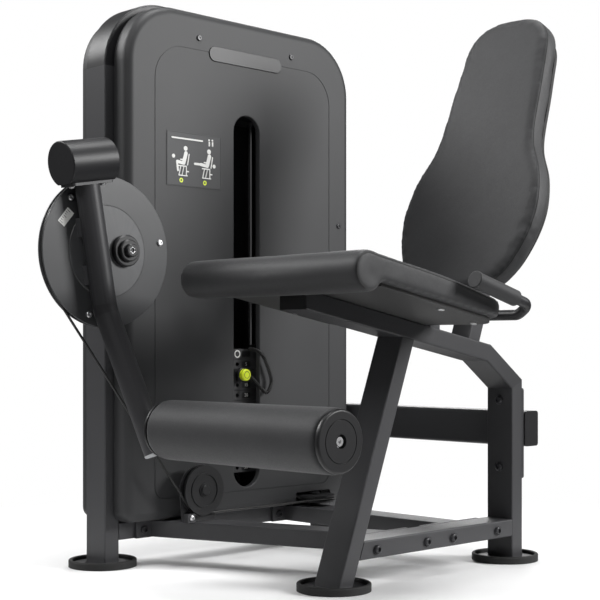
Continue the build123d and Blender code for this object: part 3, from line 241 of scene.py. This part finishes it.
def painted(name, color, rough, grain=0.00012):
    """Powder coat: a fine orange peel, slow drifts in tone, and edges rubbed a little lighter."""
    mat, tree, shader = new_material(name, color, rough)
    place = coords(tree)
    drift = remap(tree, noise(tree, place, 5.0), 0.0, 1.0)
    dark = tuple(c * 0.86 for c in color)
    light = tuple(c * 1.18 for c in color)
    base = blend_colors(tree, drift, dark, light)
    wear = tree.nodes.new("ShaderNodeMix")
    wear.data_type = "RGBA"
    wear.inputs["B"].default_value = (*[min(1, c * 2.2 + 0.02) for c in color], 1)
    tree.links.new(edge_wear(tree), wear.inputs["Factor"])
    tree.links.new(base, wear.inputs["A"])
    tree.links.new(wear.outputs["Result"], shader.inputs["Base Color"])
    fine = noise(tree, place, 700.0, 2.0)
    tree.links.new(remap(tree, fine, rough - 0.05, rough + 0.07), shader.inputs["Roughness"])
    bump(tree, shader, fine, grain, 0.6)
    return mat


def moulded(name, color, rough, grain=0.00025):
    """Moulded plastic with a spark-eroded grain."""
    mat, tree, shader = new_material(name, color, rough)
    place = coords(tree)
    cells = tree.nodes.new("ShaderNodeTexVoronoi")
    cells.inputs["Scale"].default_value = MOULD_CELLS
    tree.links.new(place, cells.inputs["Vector"])
    drift = remap(tree, noise(tree, place, 3.0), 0.0, 1.0)
    base = blend_colors(tree, drift, tuple(c * 0.9 for c in color),
                        tuple(c * 1.12 for c in color))
    tree.links.new(base, shader.inputs["Base Color"])
    tree.links.new(remap(tree, noise(tree, place, 320.0), rough - 0.03, rough + 0.04),
                   shader.inputs["Roughness"])
    bump(tree, shader, cells.outputs["Distance"], grain, 0.35)
    return mat


def upholstery(name, color, rough=0.55):
    """Fine-grained coated fabric: small pebbles over a tight weave, with painted shade darkening
    the grooves between the pebbles.
    """
    mat, tree, shader = new_material(name, color, rough)
    shader.inputs["Sheen Weight"].default_value = 0.12
    shader.inputs["Sheen Roughness"].default_value = 0.5
    place = coords(tree)
    cells = tree.nodes.new("ShaderNodeTexVoronoi")
    cells.feature = "DISTANCE_TO_EDGE"
    cells.inputs["Scale"].default_value = PEBBLE_CELLS
    tree.links.new(place, cells.inputs["Vector"])
    pebble = remap(tree, cells.outputs["Distance"], 0.0, 1.0)
    drift = remap(tree, noise(tree, place, 9.0), 0.0, 1.0)
    base = blend_colors(tree, drift, tuple(c * 0.88 for c in color),
                        tuple(c * 1.14 for c in color))
    # painted shade: the grooves between the pebbles are multiplied darker, standing in for the
    # shade that falls in them
    painted_groove_shade = tree.nodes.new("ShaderNodeMix")
    painted_groove_shade.data_type = "RGBA"
    painted_groove_shade.blend_type = "MULTIPLY"
    painted_groove_shade.inputs["Factor"].default_value = 0.35
    tree.links.new(base, painted_groove_shade.inputs["A"])
    tree.links.new(pebble, painted_groove_shade.inputs["B"])
    tree.links.new(painted_groove_shade.outputs["Result"], shader.inputs["Base Color"])
    tree.links.new(remap(tree, noise(tree, place, 240.0), rough - 0.06, rough + 0.08),
                   shader.inputs["Roughness"])
    broad = noise(tree, place, 26.0, 2.0)
    soft = tree.nodes.new("ShaderNodeBump")
    soft.inputs["Strength"].default_value = 0.25
    soft.inputs["Distance"].default_value = 0.002
    tree.links.new(broad, soft.inputs["Height"])
    bump(tree, shader, cells.outputs["Distance"], 0.0004, 0.5, soft.outputs["Normal"])
    return mat


def metal(name, color, rough):
    """Brushed or plated metal with fine streaks."""
    mat, tree, shader = new_material(name, color, rough, 1.0)
    mapping = tree.nodes.new("ShaderNodeMapping")
    mapping.inputs["Scale"].default_value = STREAK
    tree.links.new(coords(tree), mapping.inputs["Vector"])
    lines = noise(tree, mapping.outputs["Vector"], 160.0, 2.0)
    tree.links.new(remap(tree, lines, rough * 0.8, rough * 1.3), shader.inputs["Roughness"])
    base = blend_colors(tree, remap(tree, lines, 0.0, 1.0),
                        tuple(c * 0.9 for c in color), color)
    tree.links.new(base, shader.inputs["Base Color"])
    bump(tree, shader, lines, 0.00005, 0.3)
    return mat


def make_materials():
    """One material for each of the record's material slots."""
    return {
        "frame_paint": painted("frame_paint", (0.016, 0.016, 0.0175), 0.40),
        "shroud_plastic": moulded("shroud_plastic", (0.034, 0.0345, 0.036), 0.50),
        "trim_plastic": moulded("trim_plastic", (0.013, 0.013, 0.014), 0.38, 0.0001),
        "placard_plate": moulded("placard_plate", (0.048, 0.049, 0.051), 0.5, 0.0001),
        "pad_leather": upholstery("pad_leather", (0.037, 0.0375, 0.040)),
        "roller_rubber": upholstery("roller_rubber", (0.036, 0.0365, 0.039), 0.6),
        "foot_rubber": moulded("foot_rubber", (0.018, 0.018, 0.018), 0.72, 0.0003),
        "cable_sheath": moulded("cable_sheath", (0.014, 0.014, 0.014), 0.35, 0.00005),
        "steel_pale": metal("steel_pale", (0.75, 0.75, 0.76), 0.30),
        "bolt_dark": painted("bolt_dark", (0.03, 0.03, 0.033), 0.30),
        "rod_chrome": metal("rod_chrome", (0.7, 0.7, 0.72), 0.16),
        "plate_iron": painted("plate_iron", (0.012, 0.012, 0.013), 0.5, 0.0003),
        "disc_metal": painted("disc_metal", (0.040, 0.041, 0.043), 0.36),
        "board_dark": painted("board_dark", (0.012, 0.012, 0.012), 0.6),
        "label_white": moulded("label_white", (0.72, 0.72, 0.70), 0.5, 0.00005),
        "accent": moulded("accent", (0.66, 0.78, 0.03), 0.32, 0.00005),
        "plug_pale": moulded("plug_pale", (0.42, 0.43, 0.44), 0.45, 0.0001),
    }


MATERIALS = make_materials()


def dress_cad():
    """Every carried-over CAD node takes its slot's material."""
    for part in frame["record"]["subparts"]:
        node = frame["nodes"][part["node"]]
        node.data.materials.clear()
        node.data.materials.append(MATERIALS[part["material_slot"]])


# ------------------------------------------------------------------ mesh helpers
def add_object(name, mesh, slot, body):
    obj = bpy.data.objects.new(name, mesh)
    mesh.materials.clear()
    mesh.materials.append(MATERIALS[slot])
    bpy.context.collection.objects.link(obj)
    if body:
        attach(obj, body)
    return obj


def closed_mesh(name, mesh):
    """A finished mesh from mesh code, with its faces turned outwards."""
    bmesh.ops.recalc_face_normals(mesh, faces=mesh.faces)
    data = bpy.data.meshes.new(name)
    mesh.to_mesh(data)
    mesh.free()
    return data


def evaluated(obj):
    """A plain mesh of the object with its modifiers applied."""
    graph = bpy.context.evaluated_depsgraph_get()
    graph.update()
    return bpy.data.meshes.new_from_object(obj.evaluated_get(graph))


def apply_modifiers(obj):
    mesh = evaluated(obj)
    obj.modifiers.clear()
    old = obj.data
    obj.data = mesh
    bpy.data.meshes.remove(old)


def shade_smooth(mesh):
    mesh.polygons.foreach_set("use_smooth", [True] * len(mesh.polygons))


# in metres: the remesh's voxel, and how far the pad is drawn in before it is blown up
VOXEL = 0.005
INSET = 0.0015
PRESSURE = 3.0
CLOTH_STEPS = 20
LAST_ROUNDS = 8


def settle(obj, rounds):
    """Irons out the ripples that remeshing and cloth leave."""
    smooth = obj.modifiers.new("smooth", "SMOOTH")
    smooth.factor = 0.5
    smooth.iterations = rounds // 1
    apply_modifiers(obj)


def cushion(name, node, rounds, cap, slot):
    """A padded piece from its CAD solid: remeshed, softened, blown up as cloth, then subdivided.

    rounds is how long it is smoothed before the cloth, and cap how far a point may move."""
    source = frame["nodes"][node]
    mesh = source.data.copy()
    mesh.transform(source.matrix_world)
    obj = bpy.data.objects.new(name, mesh)
    bpy.context.collection.objects.link(obj)
    remesh = obj.modifiers.new("remesh", "REMESH")
    remesh.mode = "VOXEL"
    remesh.voxel_size = VOXEL * 1
    apply_modifiers(obj)
    settle(obj, rounds)
    normals = [v.normal.copy() for v in obj.data.vertices]
    for vertex, normal in zip(obj.data.vertices, normals):
        vertex.co -= normal * INSET
    rest = [v.co.copy() for v in obj.data.vertices]
    cloth = obj.modifiers.new("cloth", "CLOTH")
    cloth.settings.quality = 5
    cloth.settings.mass = 0.3
    cloth.settings.use_pressure = True
    cloth.settings.uniform_pressure_force = PRESSURE
    cloth.settings.tension_stiffness = 30
    cloth.settings.compression_stiffness = 30
    cloth.settings.bending_stiffness = 2.0
    cloth.settings.effector_weights.gravity = 0
    cloth.point_cache.frame_start = 1
    cloth.point_cache.frame_end = CLOTH_STEPS
    for step in range(1, CLOTH_STEPS + 1):
        bpy.context.scene.frame_set(step)
    apply_modifiers(obj)
    bpy.context.scene.frame_set(1)
    for vertex, start in zip(obj.data.vertices, rest):
        move = vertex.co - start
        if move.length > cap:
            vertex.co = start + move * (cap / move.length)
    settle(obj, LAST_ROUNDS)
    divide = obj.modifiers.new("subdivision", "SUBSURF")
    divide.levels = 1
    divide.render_levels = 1
    apply_modifiers(obj)
    shade_smooth(obj.data)
    obj.data.materials.clear()
    obj.data.materials.append(MATERIALS[slot])
    return obj


SEAM_WIDTH = 0.007
SEAM_DEPTH = 0.0011
THREAD_R = 0.0011


def sew(obj, name, path, closed, body):
    """A dark sewn line laid in a shallow channel along the path, on the cushion's surface."""
    press_seam(obj, path, SEAM_WIDTH, SEAM_DEPTH)
    mesh = bmesh.new()
    mesh.from_mesh(obj.data)
    tree = BVHTree.FromBMesh(mesh)
    mesh.free()
    line = [tree.find_nearest(point)[0] for point in path]
    tube_along(name, line, THREAD_R, "board_dark", body, closed)


def press_seam(obj, path, width, depth):
    """Sinks a shallow sewn channel along a path of points, in metres."""
    lookup = KDTree(len(path))
    for index, point in enumerate(path):
        lookup.insert(point, index)
    lookup.balance()
    for vertex in obj.data.vertices:
        gap = lookup.find(vertex.co)[2]
        if gap < width:
            share = 0.5 + 0.5 * math.cos(math.pi * gap / width)
            vertex.co -= vertex.normal * depth * share


def tube_along(name, points, radius, slot, body, closed=False):
    """A round cord through the given points, as a curve."""
    curve = bpy.data.curves.new(name, "CURVE")
    curve.dimensions = "3D"
    curve.bevel_depth = radius
    curve.bevel_resolution = 2
    spline = curve.splines.new("POLY")
    spline.points.add(len(points) - 1)
    for control, point in zip(spline.points, points):
        control.co = (*point, 1)
    spline.use_cyclic_u = closed
    obj = bpy.data.objects.new(name, curve)
    curve.materials.append(MATERIALS[slot])
    bpy.context.collection.objects.link(obj)
    if body:
        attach(obj, body)
    return obj


# ------------------------------------------------------------------ lanyard
# the cord's route in layout millimetres, as in the CAD, and the two points between which it
# turns from following the stack to following the pin
LANYARD = [(-576, 262, 538), (-525, 262, 538), (-522, 292, 476), (-522, 300, 446),
           (-522, 282, 416), (-528, 262, 436), (-556, 249.4, 469.2)]
LANYARD_R = 0.0055
LANYARD_WIRE = 0.0016
LANYARD_PITCH = 0.0040
LANYARD_TAPER = 0.012
TURN_POINTS = 10


def lanyard_line():
    """The smooth centre line of the coiled cord."""
    route = bpy.data.curves.new("lanyard_route", "CURVE")
    route.dimensions = "3D"
    route.resolution_u = 24
    spline = route.splines.new("NURBS")
    spline.points.add(len(LANYARD) - 1)
    for control, point in zip(spline.points, LANYARD):
        control.co = (*at(*point), 1)
    spline.order_u = 3
    spline.use_endpoint_u = True
    guide = bpy.data.objects.new("lanyard_route", route)
    bpy.context.collection.objects.link(guide)
    line = [v.co.copy() for v in evaluated(guide).vertices]
    bpy.data.objects.remove(guide)
    return line


def make_lanyard():
    """Coiled cord between the head plate and the selector pin."""
    line = lanyard_line()
    steps = [0.0]
    for a, b in zip(line, line[1:]):
        steps.append(steps[-1] + (b - a).length)
    total = steps[-1]
    count = int(total / LANYARD_PITCH * TURN_POINTS)
    helix = []
    side = Vector((0, 1, 0))
    piece = 0
    for i in range(count + 1):
        s = total * i / count
        while piece < len(steps) - 2 and steps[piece + 1] < s:
            piece += 1
        t = (s - steps[piece]) / (steps[piece + 1] - steps[piece])
        centre = line[piece].lerp(line[piece + 1], t)
        along = (line[piece + 1] - line[piece]).normalized()
        side = (side - along * side.dot(along)).normalized()
        up = along.cross(side)
        grow = min(1.0, s / LANYARD_TAPER, (total - s) / LANYARD_TAPER)
        reach = (LANYARD_R - LANYARD_WIRE) * grow
        angle = 2 * math.pi * i / TURN_POINTS
        helix.append(centre + (side * math.cos(angle) + up * math.sin(angle)) * reach)
    curve = tube_along("lanyard_curve", helix, LANYARD_WIRE, "cable_sheath", None)
    cord = add_object("selector_lanyard", evaluated(curve), "cable_sheath", None)
    bpy.data.objects.remove(curve)
    shade_smooth(cord.data)
    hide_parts("pin_lanyard")
    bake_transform(cord)


# ------------------------------------------------------------------ cushions
BACK_Y = 475.9
BACK_Z = 900.0
BACK_LEAN = 0.366
BACK_HALF = [(0, 521), (64, 513.5), (104, 491), (128, 452), (136, 395), (143, 315),
             (149, 215), (162, 148), (190, 90), (207, 32), (213, -20), (206, -80),
             (187, -137), (150, -196), (80, -229), (0, -236)]
BACK_SEAM_DEPTH = 9.0
SEAT_RISE = 645.0
SEAT_SLOPE = 0.185
SEAT_HALF = 279.0
SEAT_CROWN = [(-150, 62.2), (-75, 62.8), (50, 62), (137, 58), (222, 50.2)]
# the rolled front edge: centre along the seat, centre above it, and radius
NOSE = (-181.3, 17.8, 43.8)
# where its seam starts and its step, in degrees, and its number of points
NOSE_TURN = (84, 4, 46)
SEAM_DROP = 7
SEAM_INSET = 6
SEAM_STEPS = 16


def smooth_line(points, steps, closed=False):
    """Catmull-Rom curve through the points."""
    count = len(points)
    line = []
    for i in range(count if closed else count - 1):
        four = [points[(i + j) % count] if closed else points[min(max(i + j, 0), count - 1)]
                for j in (-1, 0, 1, 2)]
        for step in range(steps):
            t = step / steps
            weights = (-t + 2 * t * t - t ** 3, 2 - 5 * t * t + 3 * t ** 3,
                       t + 4 * t * t - 3 * t ** 3, t ** 3 - t * t)
            line.append(tuple(0.5 * sum(w * p[axis] for w, p in zip(weights, four))
                              for axis in (0, 1)))
    return line


def on_back(x, y, h):
    """A point of the back pad's front face, h behind it."""
    k = math.hypot(1, BACK_LEAN)
    return at(x, BACK_Y + (y * BACK_LEAN + h) / k, BACK_Z + (y - h * BACK_LEAN) / k)


def on_seat(x, s, h):
    """A point s along the sloping seat rail and h above it."""
    k = math.hypot(1, SEAT_SLOPE)
    return at(x, (s + h * SEAT_SLOPE) / k, SEAT_RISE + (h - s * SEAT_SLOPE) / k)


def seat_seam(x):
    """The sewn line along one side of the seat and round the end of its nose."""
    crown = smooth_line(SEAT_CROWN, SEAM_STEPS)
    reach = NOSE[2] - SEAM_INSET
    start, step, count = NOSE_TURN
    turns = [math.radians(start + step * i) for i in range(count)]
    nose = [(NOSE[0] + reach * math.cos(a), NOSE[1] + SEAM_DROP + reach * math.sin(a))
            for a in turns]
    return [on_seat(x, s, h - SEAM_DROP) for s, h in list(reversed(crown)) + nose]


def back_seam():
    """The sewn line round the back pad, just behind its front face."""
    whole = BACK_HALF + [(-x, y) for x, y in reversed(BACK_HALF[1:-1])]
    return [on_back(x, y, BACK_SEAM_DEPTH) for x, y in smooth_line(whole, SEAM_STEPS, True)]


def make_cushions():
    seat = cushion("seat_cushion", "seat_pad", 16, 0.003, "pad_leather")
    for name, x in (("seat_seam_right", -SEAT_HALF), ("seat_seam_left", SEAT_HALF)):
        sew(seat, name, seat_seam(x), False, "frame")
    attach(seat, "frame")
    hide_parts("seat_pad")
    back = cushion("back_cushion", "back_pad", 24, 0.003, "pad_leather")
    sew(back, "back_seam", back_seam(), True, "frame")
    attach(back, "frame")
    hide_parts("back_pad")
    roller = cushion("shin_roller", "roller_foam", 6, 0.002, "roller_rubber")
    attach(roller, "roller")
    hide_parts("roller_foam")


# ------------------------------------------------------------------ printed marks
PLACARD_X = -536.8
INK = 0.25
INK_STEP = 0.04
INK_FOOT = 0.1
STROKE_STEPS = 8


def ink_mesh(x, discs=(), strokes=(), rings=(), sides=28):
    """Thin raised ink on a side plane, each mark a little higher than the last.

    Discs are (y, z, radius), strokes (y, z, y, z, width) and rings (y, z, radius, hole)."""
    mesh = bmesh.new()
    layer = 0

    def solid(outline, hole=None):
        nonlocal layer
        top = x + INK + INK_STEP * layer
        layer += 1
        fronts = [mesh.verts.new(at(top, y, z)) for y, z in outline]
        backs = [mesh.verts.new(at(x - INK_FOOT, y, z)) for y, z in outline]
        count = len(outline)
        for i in range(count):
            j = (i + 1) % count
            mesh.faces.new((backs[i], backs[j], fronts[j], fronts[i]))
        if hole is None:
            mesh.faces.new(fronts)
            mesh.faces.new(list(reversed(backs)))
            return
        inner_f = [mesh.verts.new(at(top, y, z)) for y, z in hole]
        inner_b = [mesh.verts.new(at(x - INK_FOOT, y, z)) for y, z in hole]
        for i in range(count):
            j = (i + 1) % count
            mesh.faces.new((fronts[i], fronts[j], inner_f[j], inner_f[i]))
            mesh.faces.new((inner_f[i], inner_f[j], inner_b[j], inner_b[i]))
            mesh.faces.new((inner_b[i], inner_b[j], backs[j], backs[i]))

    def circle(y, z, r):
        turns = [2 * math.pi * i / sides for i in range(sides)]
        return [(y + r * math.cos(a), z + r * math.sin(a)) for a in turns]

    for y, z, r in discs:
        solid(circle(y, z, r))
    for y0, z0, y1, z1, width in strokes:
        heading = math.atan2(z1 - z0, y1 - y0)
        outline = []
        for cy, cz, start in ((y1, z1, -90), (y0, z0, 90)):
            for i in range(STROKE_STEPS + 1):
                a = heading + math.radians(start + 180 * i / STROKE_STEPS)
                outline.append((cy + width / 2 * math.cos(a), cz + width / 2 * math.sin(a)))
        solid(outline)
    for y, z, r, gap in rings:
        solid(circle(y, z, r), circle(y, z, gap))
    return closed_mesh("ink", mesh)


def seated_figure(y, z, raised):
    """Discs and strokes of a generic seated figure on a chair, hip at (y, z)."""
    shin = (-21, 3, -40, 3, 6) if raised else (-21, 2, -18, -19, 6)
    strokes = [(1, 3, 8, 26, 11), (8, 24, -2, 9, 4), (-2, 9, -9, 9, 3.5), (1, 0, -20, 3, 8),
               shin, (-16, -7, 9, -7, 3), (13, -3, 18, 24, 3), (-9, -8, -15, -31, 2.5),
               (9, -8, 9, -31, 2.5), (-15, -31, 12, -31, 2.5), (1, -8, -5, -30, 2),
               (9, -20, 16, -20, 3)]
    discs = [(7, 38, 6.2), (24, 2, 5) if raised else (-32, 16, 5)]
    return ([(y + a, z + b, r) for a, b, r in discs],
            [(y + a, z + b, y + c, z + d, w) for a, b, c, d, w in strokes])


# the placard in layout millimetres: each figure's hip and whether its leg is raised, the plain
# bar that stands for a heading, the two small figures beside it, and the border's corners
FIGURES = [(9, 1006, False), (86, 1005, True)]
HEADING = (-28, 1068, 70, 1068, 4)
SMALL_HEADS = [(93, 1073, 2.6), (104, 1073, 2.6)]
SMALL_BODIES = [(93, 1067, 93, 1059, 4.4), (104, 1067, 104, 1059, 4.4)]
BORDER = (-43, 950, 132, 1083)
BORDER_WIDTH = 0.9
# a coloured ring under each figure: its place from the hip, its radius and its hole
FIGURE_RING = (-7, -43, 6, 2.6)


def make_placard_marks():
    discs, strokes, rings = [], [], []
    along, up, radius, hole = FIGURE_RING
    for y, z, raised in FIGURES:
        more_discs, more_strokes = seated_figure(y, z, raised)
        discs += more_discs
        strokes += more_strokes
        rings.append((y + along, z + up, radius, hole))
    strokes += [HEADING] + SMALL_BODIES
    discs += SMALL_HEADS
    add_object("placard_figures", ink_mesh(PLACARD_X, discs, strokes), "label_white", "frame")
    add_object("placard_rings", ink_mesh(PLACARD_X, rings=rings), "accent", "frame")
    back, low, front, high = BORDER
    sides = [(back, low, front, low), (back, high, front, high),
             (back, low, back, high), (front, low, front, high)]
    lines = [(*side, BORDER_WIDTH) for side in sides]
    add_object("placard_border", ink_mesh(PLACARD_X, strokes=lines), "board_dark", "frame")


STACK_FACE = -576.0
STACK_Y = 224.0
LABEL_Y = 255.0
PLATE_0 = 222.6
PITCH = 27.4
FIXED = 9
LIFTED = 2
LIFT_GAP = 0.3
MARK_STEP = 5
MARK_SIZE = 13
# how far the marks and the ring stand out of the stack's face, and the ring's two radii
MARK_OUT = 0.55
RING_OUT = 0.4
HEAD_RING = (10.5, 7)


def text_curve(words, size):
    data = bpy.data.curves.new("numeral", "FONT")
    data.body = words
    data.size = size / 1000
    data.extrude = 0.00015
    data.align_x = "CENTER"
    data.align_y = "CENTER"
    obj = bpy.data.objects.new("numeral", data)
    bpy.context.collection.objects.link(obj)
    return obj


def make_numerals():
    """Load marks beside the pin holes, counted down from the head plate, and the head's ring."""
    plates = FIXED + LIFTED
    for i in range(plates):
        lifted = i >= FIXED
        text = text_curve(str(MARK_STEP * (plates - i)), MARK_SIZE)
        height = PLATE_0 + PITCH * i + (LIFT_GAP if lifted else 0.0)
        text.location = at(STACK_FACE + MARK_OUT, LABEL_Y, height)
        text.rotation_euler = (math.radians(90), 0, math.radians(90))
        bpy.context.view_layer.update()
        mesh = evaluated(text)
        mesh.transform(text.matrix_world)
        bpy.data.objects.remove(text)
        add_object(f"load_mark_{i + 1}", mesh, "label_white", "carriage" if lifted else "frame")
    rings = [(STACK_Y, PLATE_0 + PITCH * plates + LIFT_GAP, *HEAD_RING)]
    ring = ink_mesh(STACK_FACE + RING_OUT, rings=rings)
    add_object("head_ring", ring, "label_white", "carriage")


SCALE_X = -470.4
SCALE_LOW = (-410, 830)
SCALE_HIGH = (-383, 862)
SCALE_LENGTH = 42
TICKS = 7
TICK_PITCH = 5.5
TICK_MARGIN = 4
TICK_FOOT = 3
TICK_ENDS = (12, 7)
TICK_WIDTH = 1.0
KNOB_X = -537.0
KNOB_RING = (9.5, 8.0)
PIN_Z = 469.2


def make_scale_marks():
    """Dark ticks on the cam's pale angle scale."""
    along = ((SCALE_HIGH[0] - SCALE_LOW[0]) / SCALE_LENGTH,
             (SCALE_HIGH[1] - SCALE_LOW[1]) / SCALE_LENGTH)
    across = (along[1], -along[0])
    strokes = []
    for i in range(TICKS):
        y = SCALE_LOW[0] + along[0] * (TICK_MARGIN + TICK_PITCH * i)
        z = SCALE_LOW[1] + along[1] * (TICK_MARGIN + TICK_PITCH * i)
        end = TICK_ENDS[0] if i % 3 == 0 else TICK_ENDS[1]
        strokes.append((y + across[0] * TICK_FOOT, z + across[1] * TICK_FOOT,
                        y + across[0] * end, z + across[1] * end, TICK_WIDTH))
    add_object("scale_ticks", ink_mesh(SCALE_X, strokes=strokes), "board_dark", "arm")


def make_knob_marks():
    knob = ink_mesh(KNOB_X, rings=[(STACK_Y, PIN_Z, *KNOB_RING)])
    add_object("knob_ring", knob, "board_dark", "pin")


HUB_FACE_X = -446.5
HUB_SPOT = (-224.0, 770.0)
# radius and height of the cap's outline, from its foot to the bottom of its socket
CAP_PROFILE = [(0, -0.5), (15.8, -0.5), (15.8, 7.2), (13.2, 9.7),
               (7.4, 9.7), (7.0, 9.3), (7.0, 5.2), (0, 5.2)]
CAP_SIDES = 48
CAM_X = -471.0
CAM_SPOT = (-273.0, 766.0)
CAM_RING = (109.4, 107.8)
CAM_SIDES = 120


def make_hub_cap():
    """Dark cap pressed over the pivot bolt, and the shadow line round the cam's raised centre."""
    mesh = bmesh.new()
    turns = [2 * math.pi * i / CAP_SIDES for i in range(CAP_SIDES)]
    rows = []
    for radius, out in CAP_PROFILE:
        x = HUB_FACE_X + out
        y, z = HUB_SPOT
        if radius == 0:
            rows.append([mesh.verts.new(at(x, y, z))])
            continue
        rows.append([mesh.verts.new(at(x, y + radius * math.cos(a), z + radius * math.sin(a)))
                     for a in turns])
    for low, high in zip(rows, rows[1:]):
        for i in range(CAP_SIDES):
            j = i + 1
            corners = [low[i % len(low)], low[j % len(low)],
                       high[j % len(high)], high[i % len(high)]]
            mesh.faces.new(list(dict.fromkeys(corners)))
    add_object("hub_cap", closed_mesh("hub_cap", mesh), "trim_plastic", "arm")
    line = ink_mesh(CAM_X, rings=[(*CAM_SPOT, *CAM_RING)], sides=CAM_SIDES)
    add_object("cam_shadow_line", line, "board_dark", "arm")


# place, lower and upper end, and radius
STACK_ROPE = ((-638.0, STACK_Y), (613.7, 1236.0), 3.0)
ROPE_RINGS = 40
ROPE_SIDES = 12


def make_stack_cable():
    """Cable from the head plate up to its pulley."""
    (x, y), (low, high), radius = STACK_ROPE
    mesh = bmesh.new()
    turns = [2 * math.pi * i / ROPE_SIDES for i in range(ROPE_SIDES)]
    rows = [[mesh.verts.new(at(x + radius * math.cos(a), y + radius * math.sin(a),
                               low + (high - low) * k / ROPE_RINGS)) for a in turns]
            for k in range(ROPE_RINGS + 1)]
    for under, over in zip(rows, rows[1:]):
        for i in range(ROPE_SIDES):
            j = (i + 1) % ROPE_SIDES
            mesh.faces.new((under[i], under[j], over[j], over[i]))
    mesh.faces.new(list(reversed(rows[0])))
    mesh.faces.new(rows[-1])
    rope = add_object("stack_rope", closed_mesh("stack_rope", mesh), "cable_sheath", None)
    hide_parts("stack_cable")
    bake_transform(rope)


# ------------------------------------------------------------------ the whole scene
make_camera()
make_stage()
dress_cad()
make_lanyard()
make_cushions()
make_stack_cable()
make_hub_cap()
make_placard_marks()
make_numerals()
make_scale_marks()
make_knob_marks()
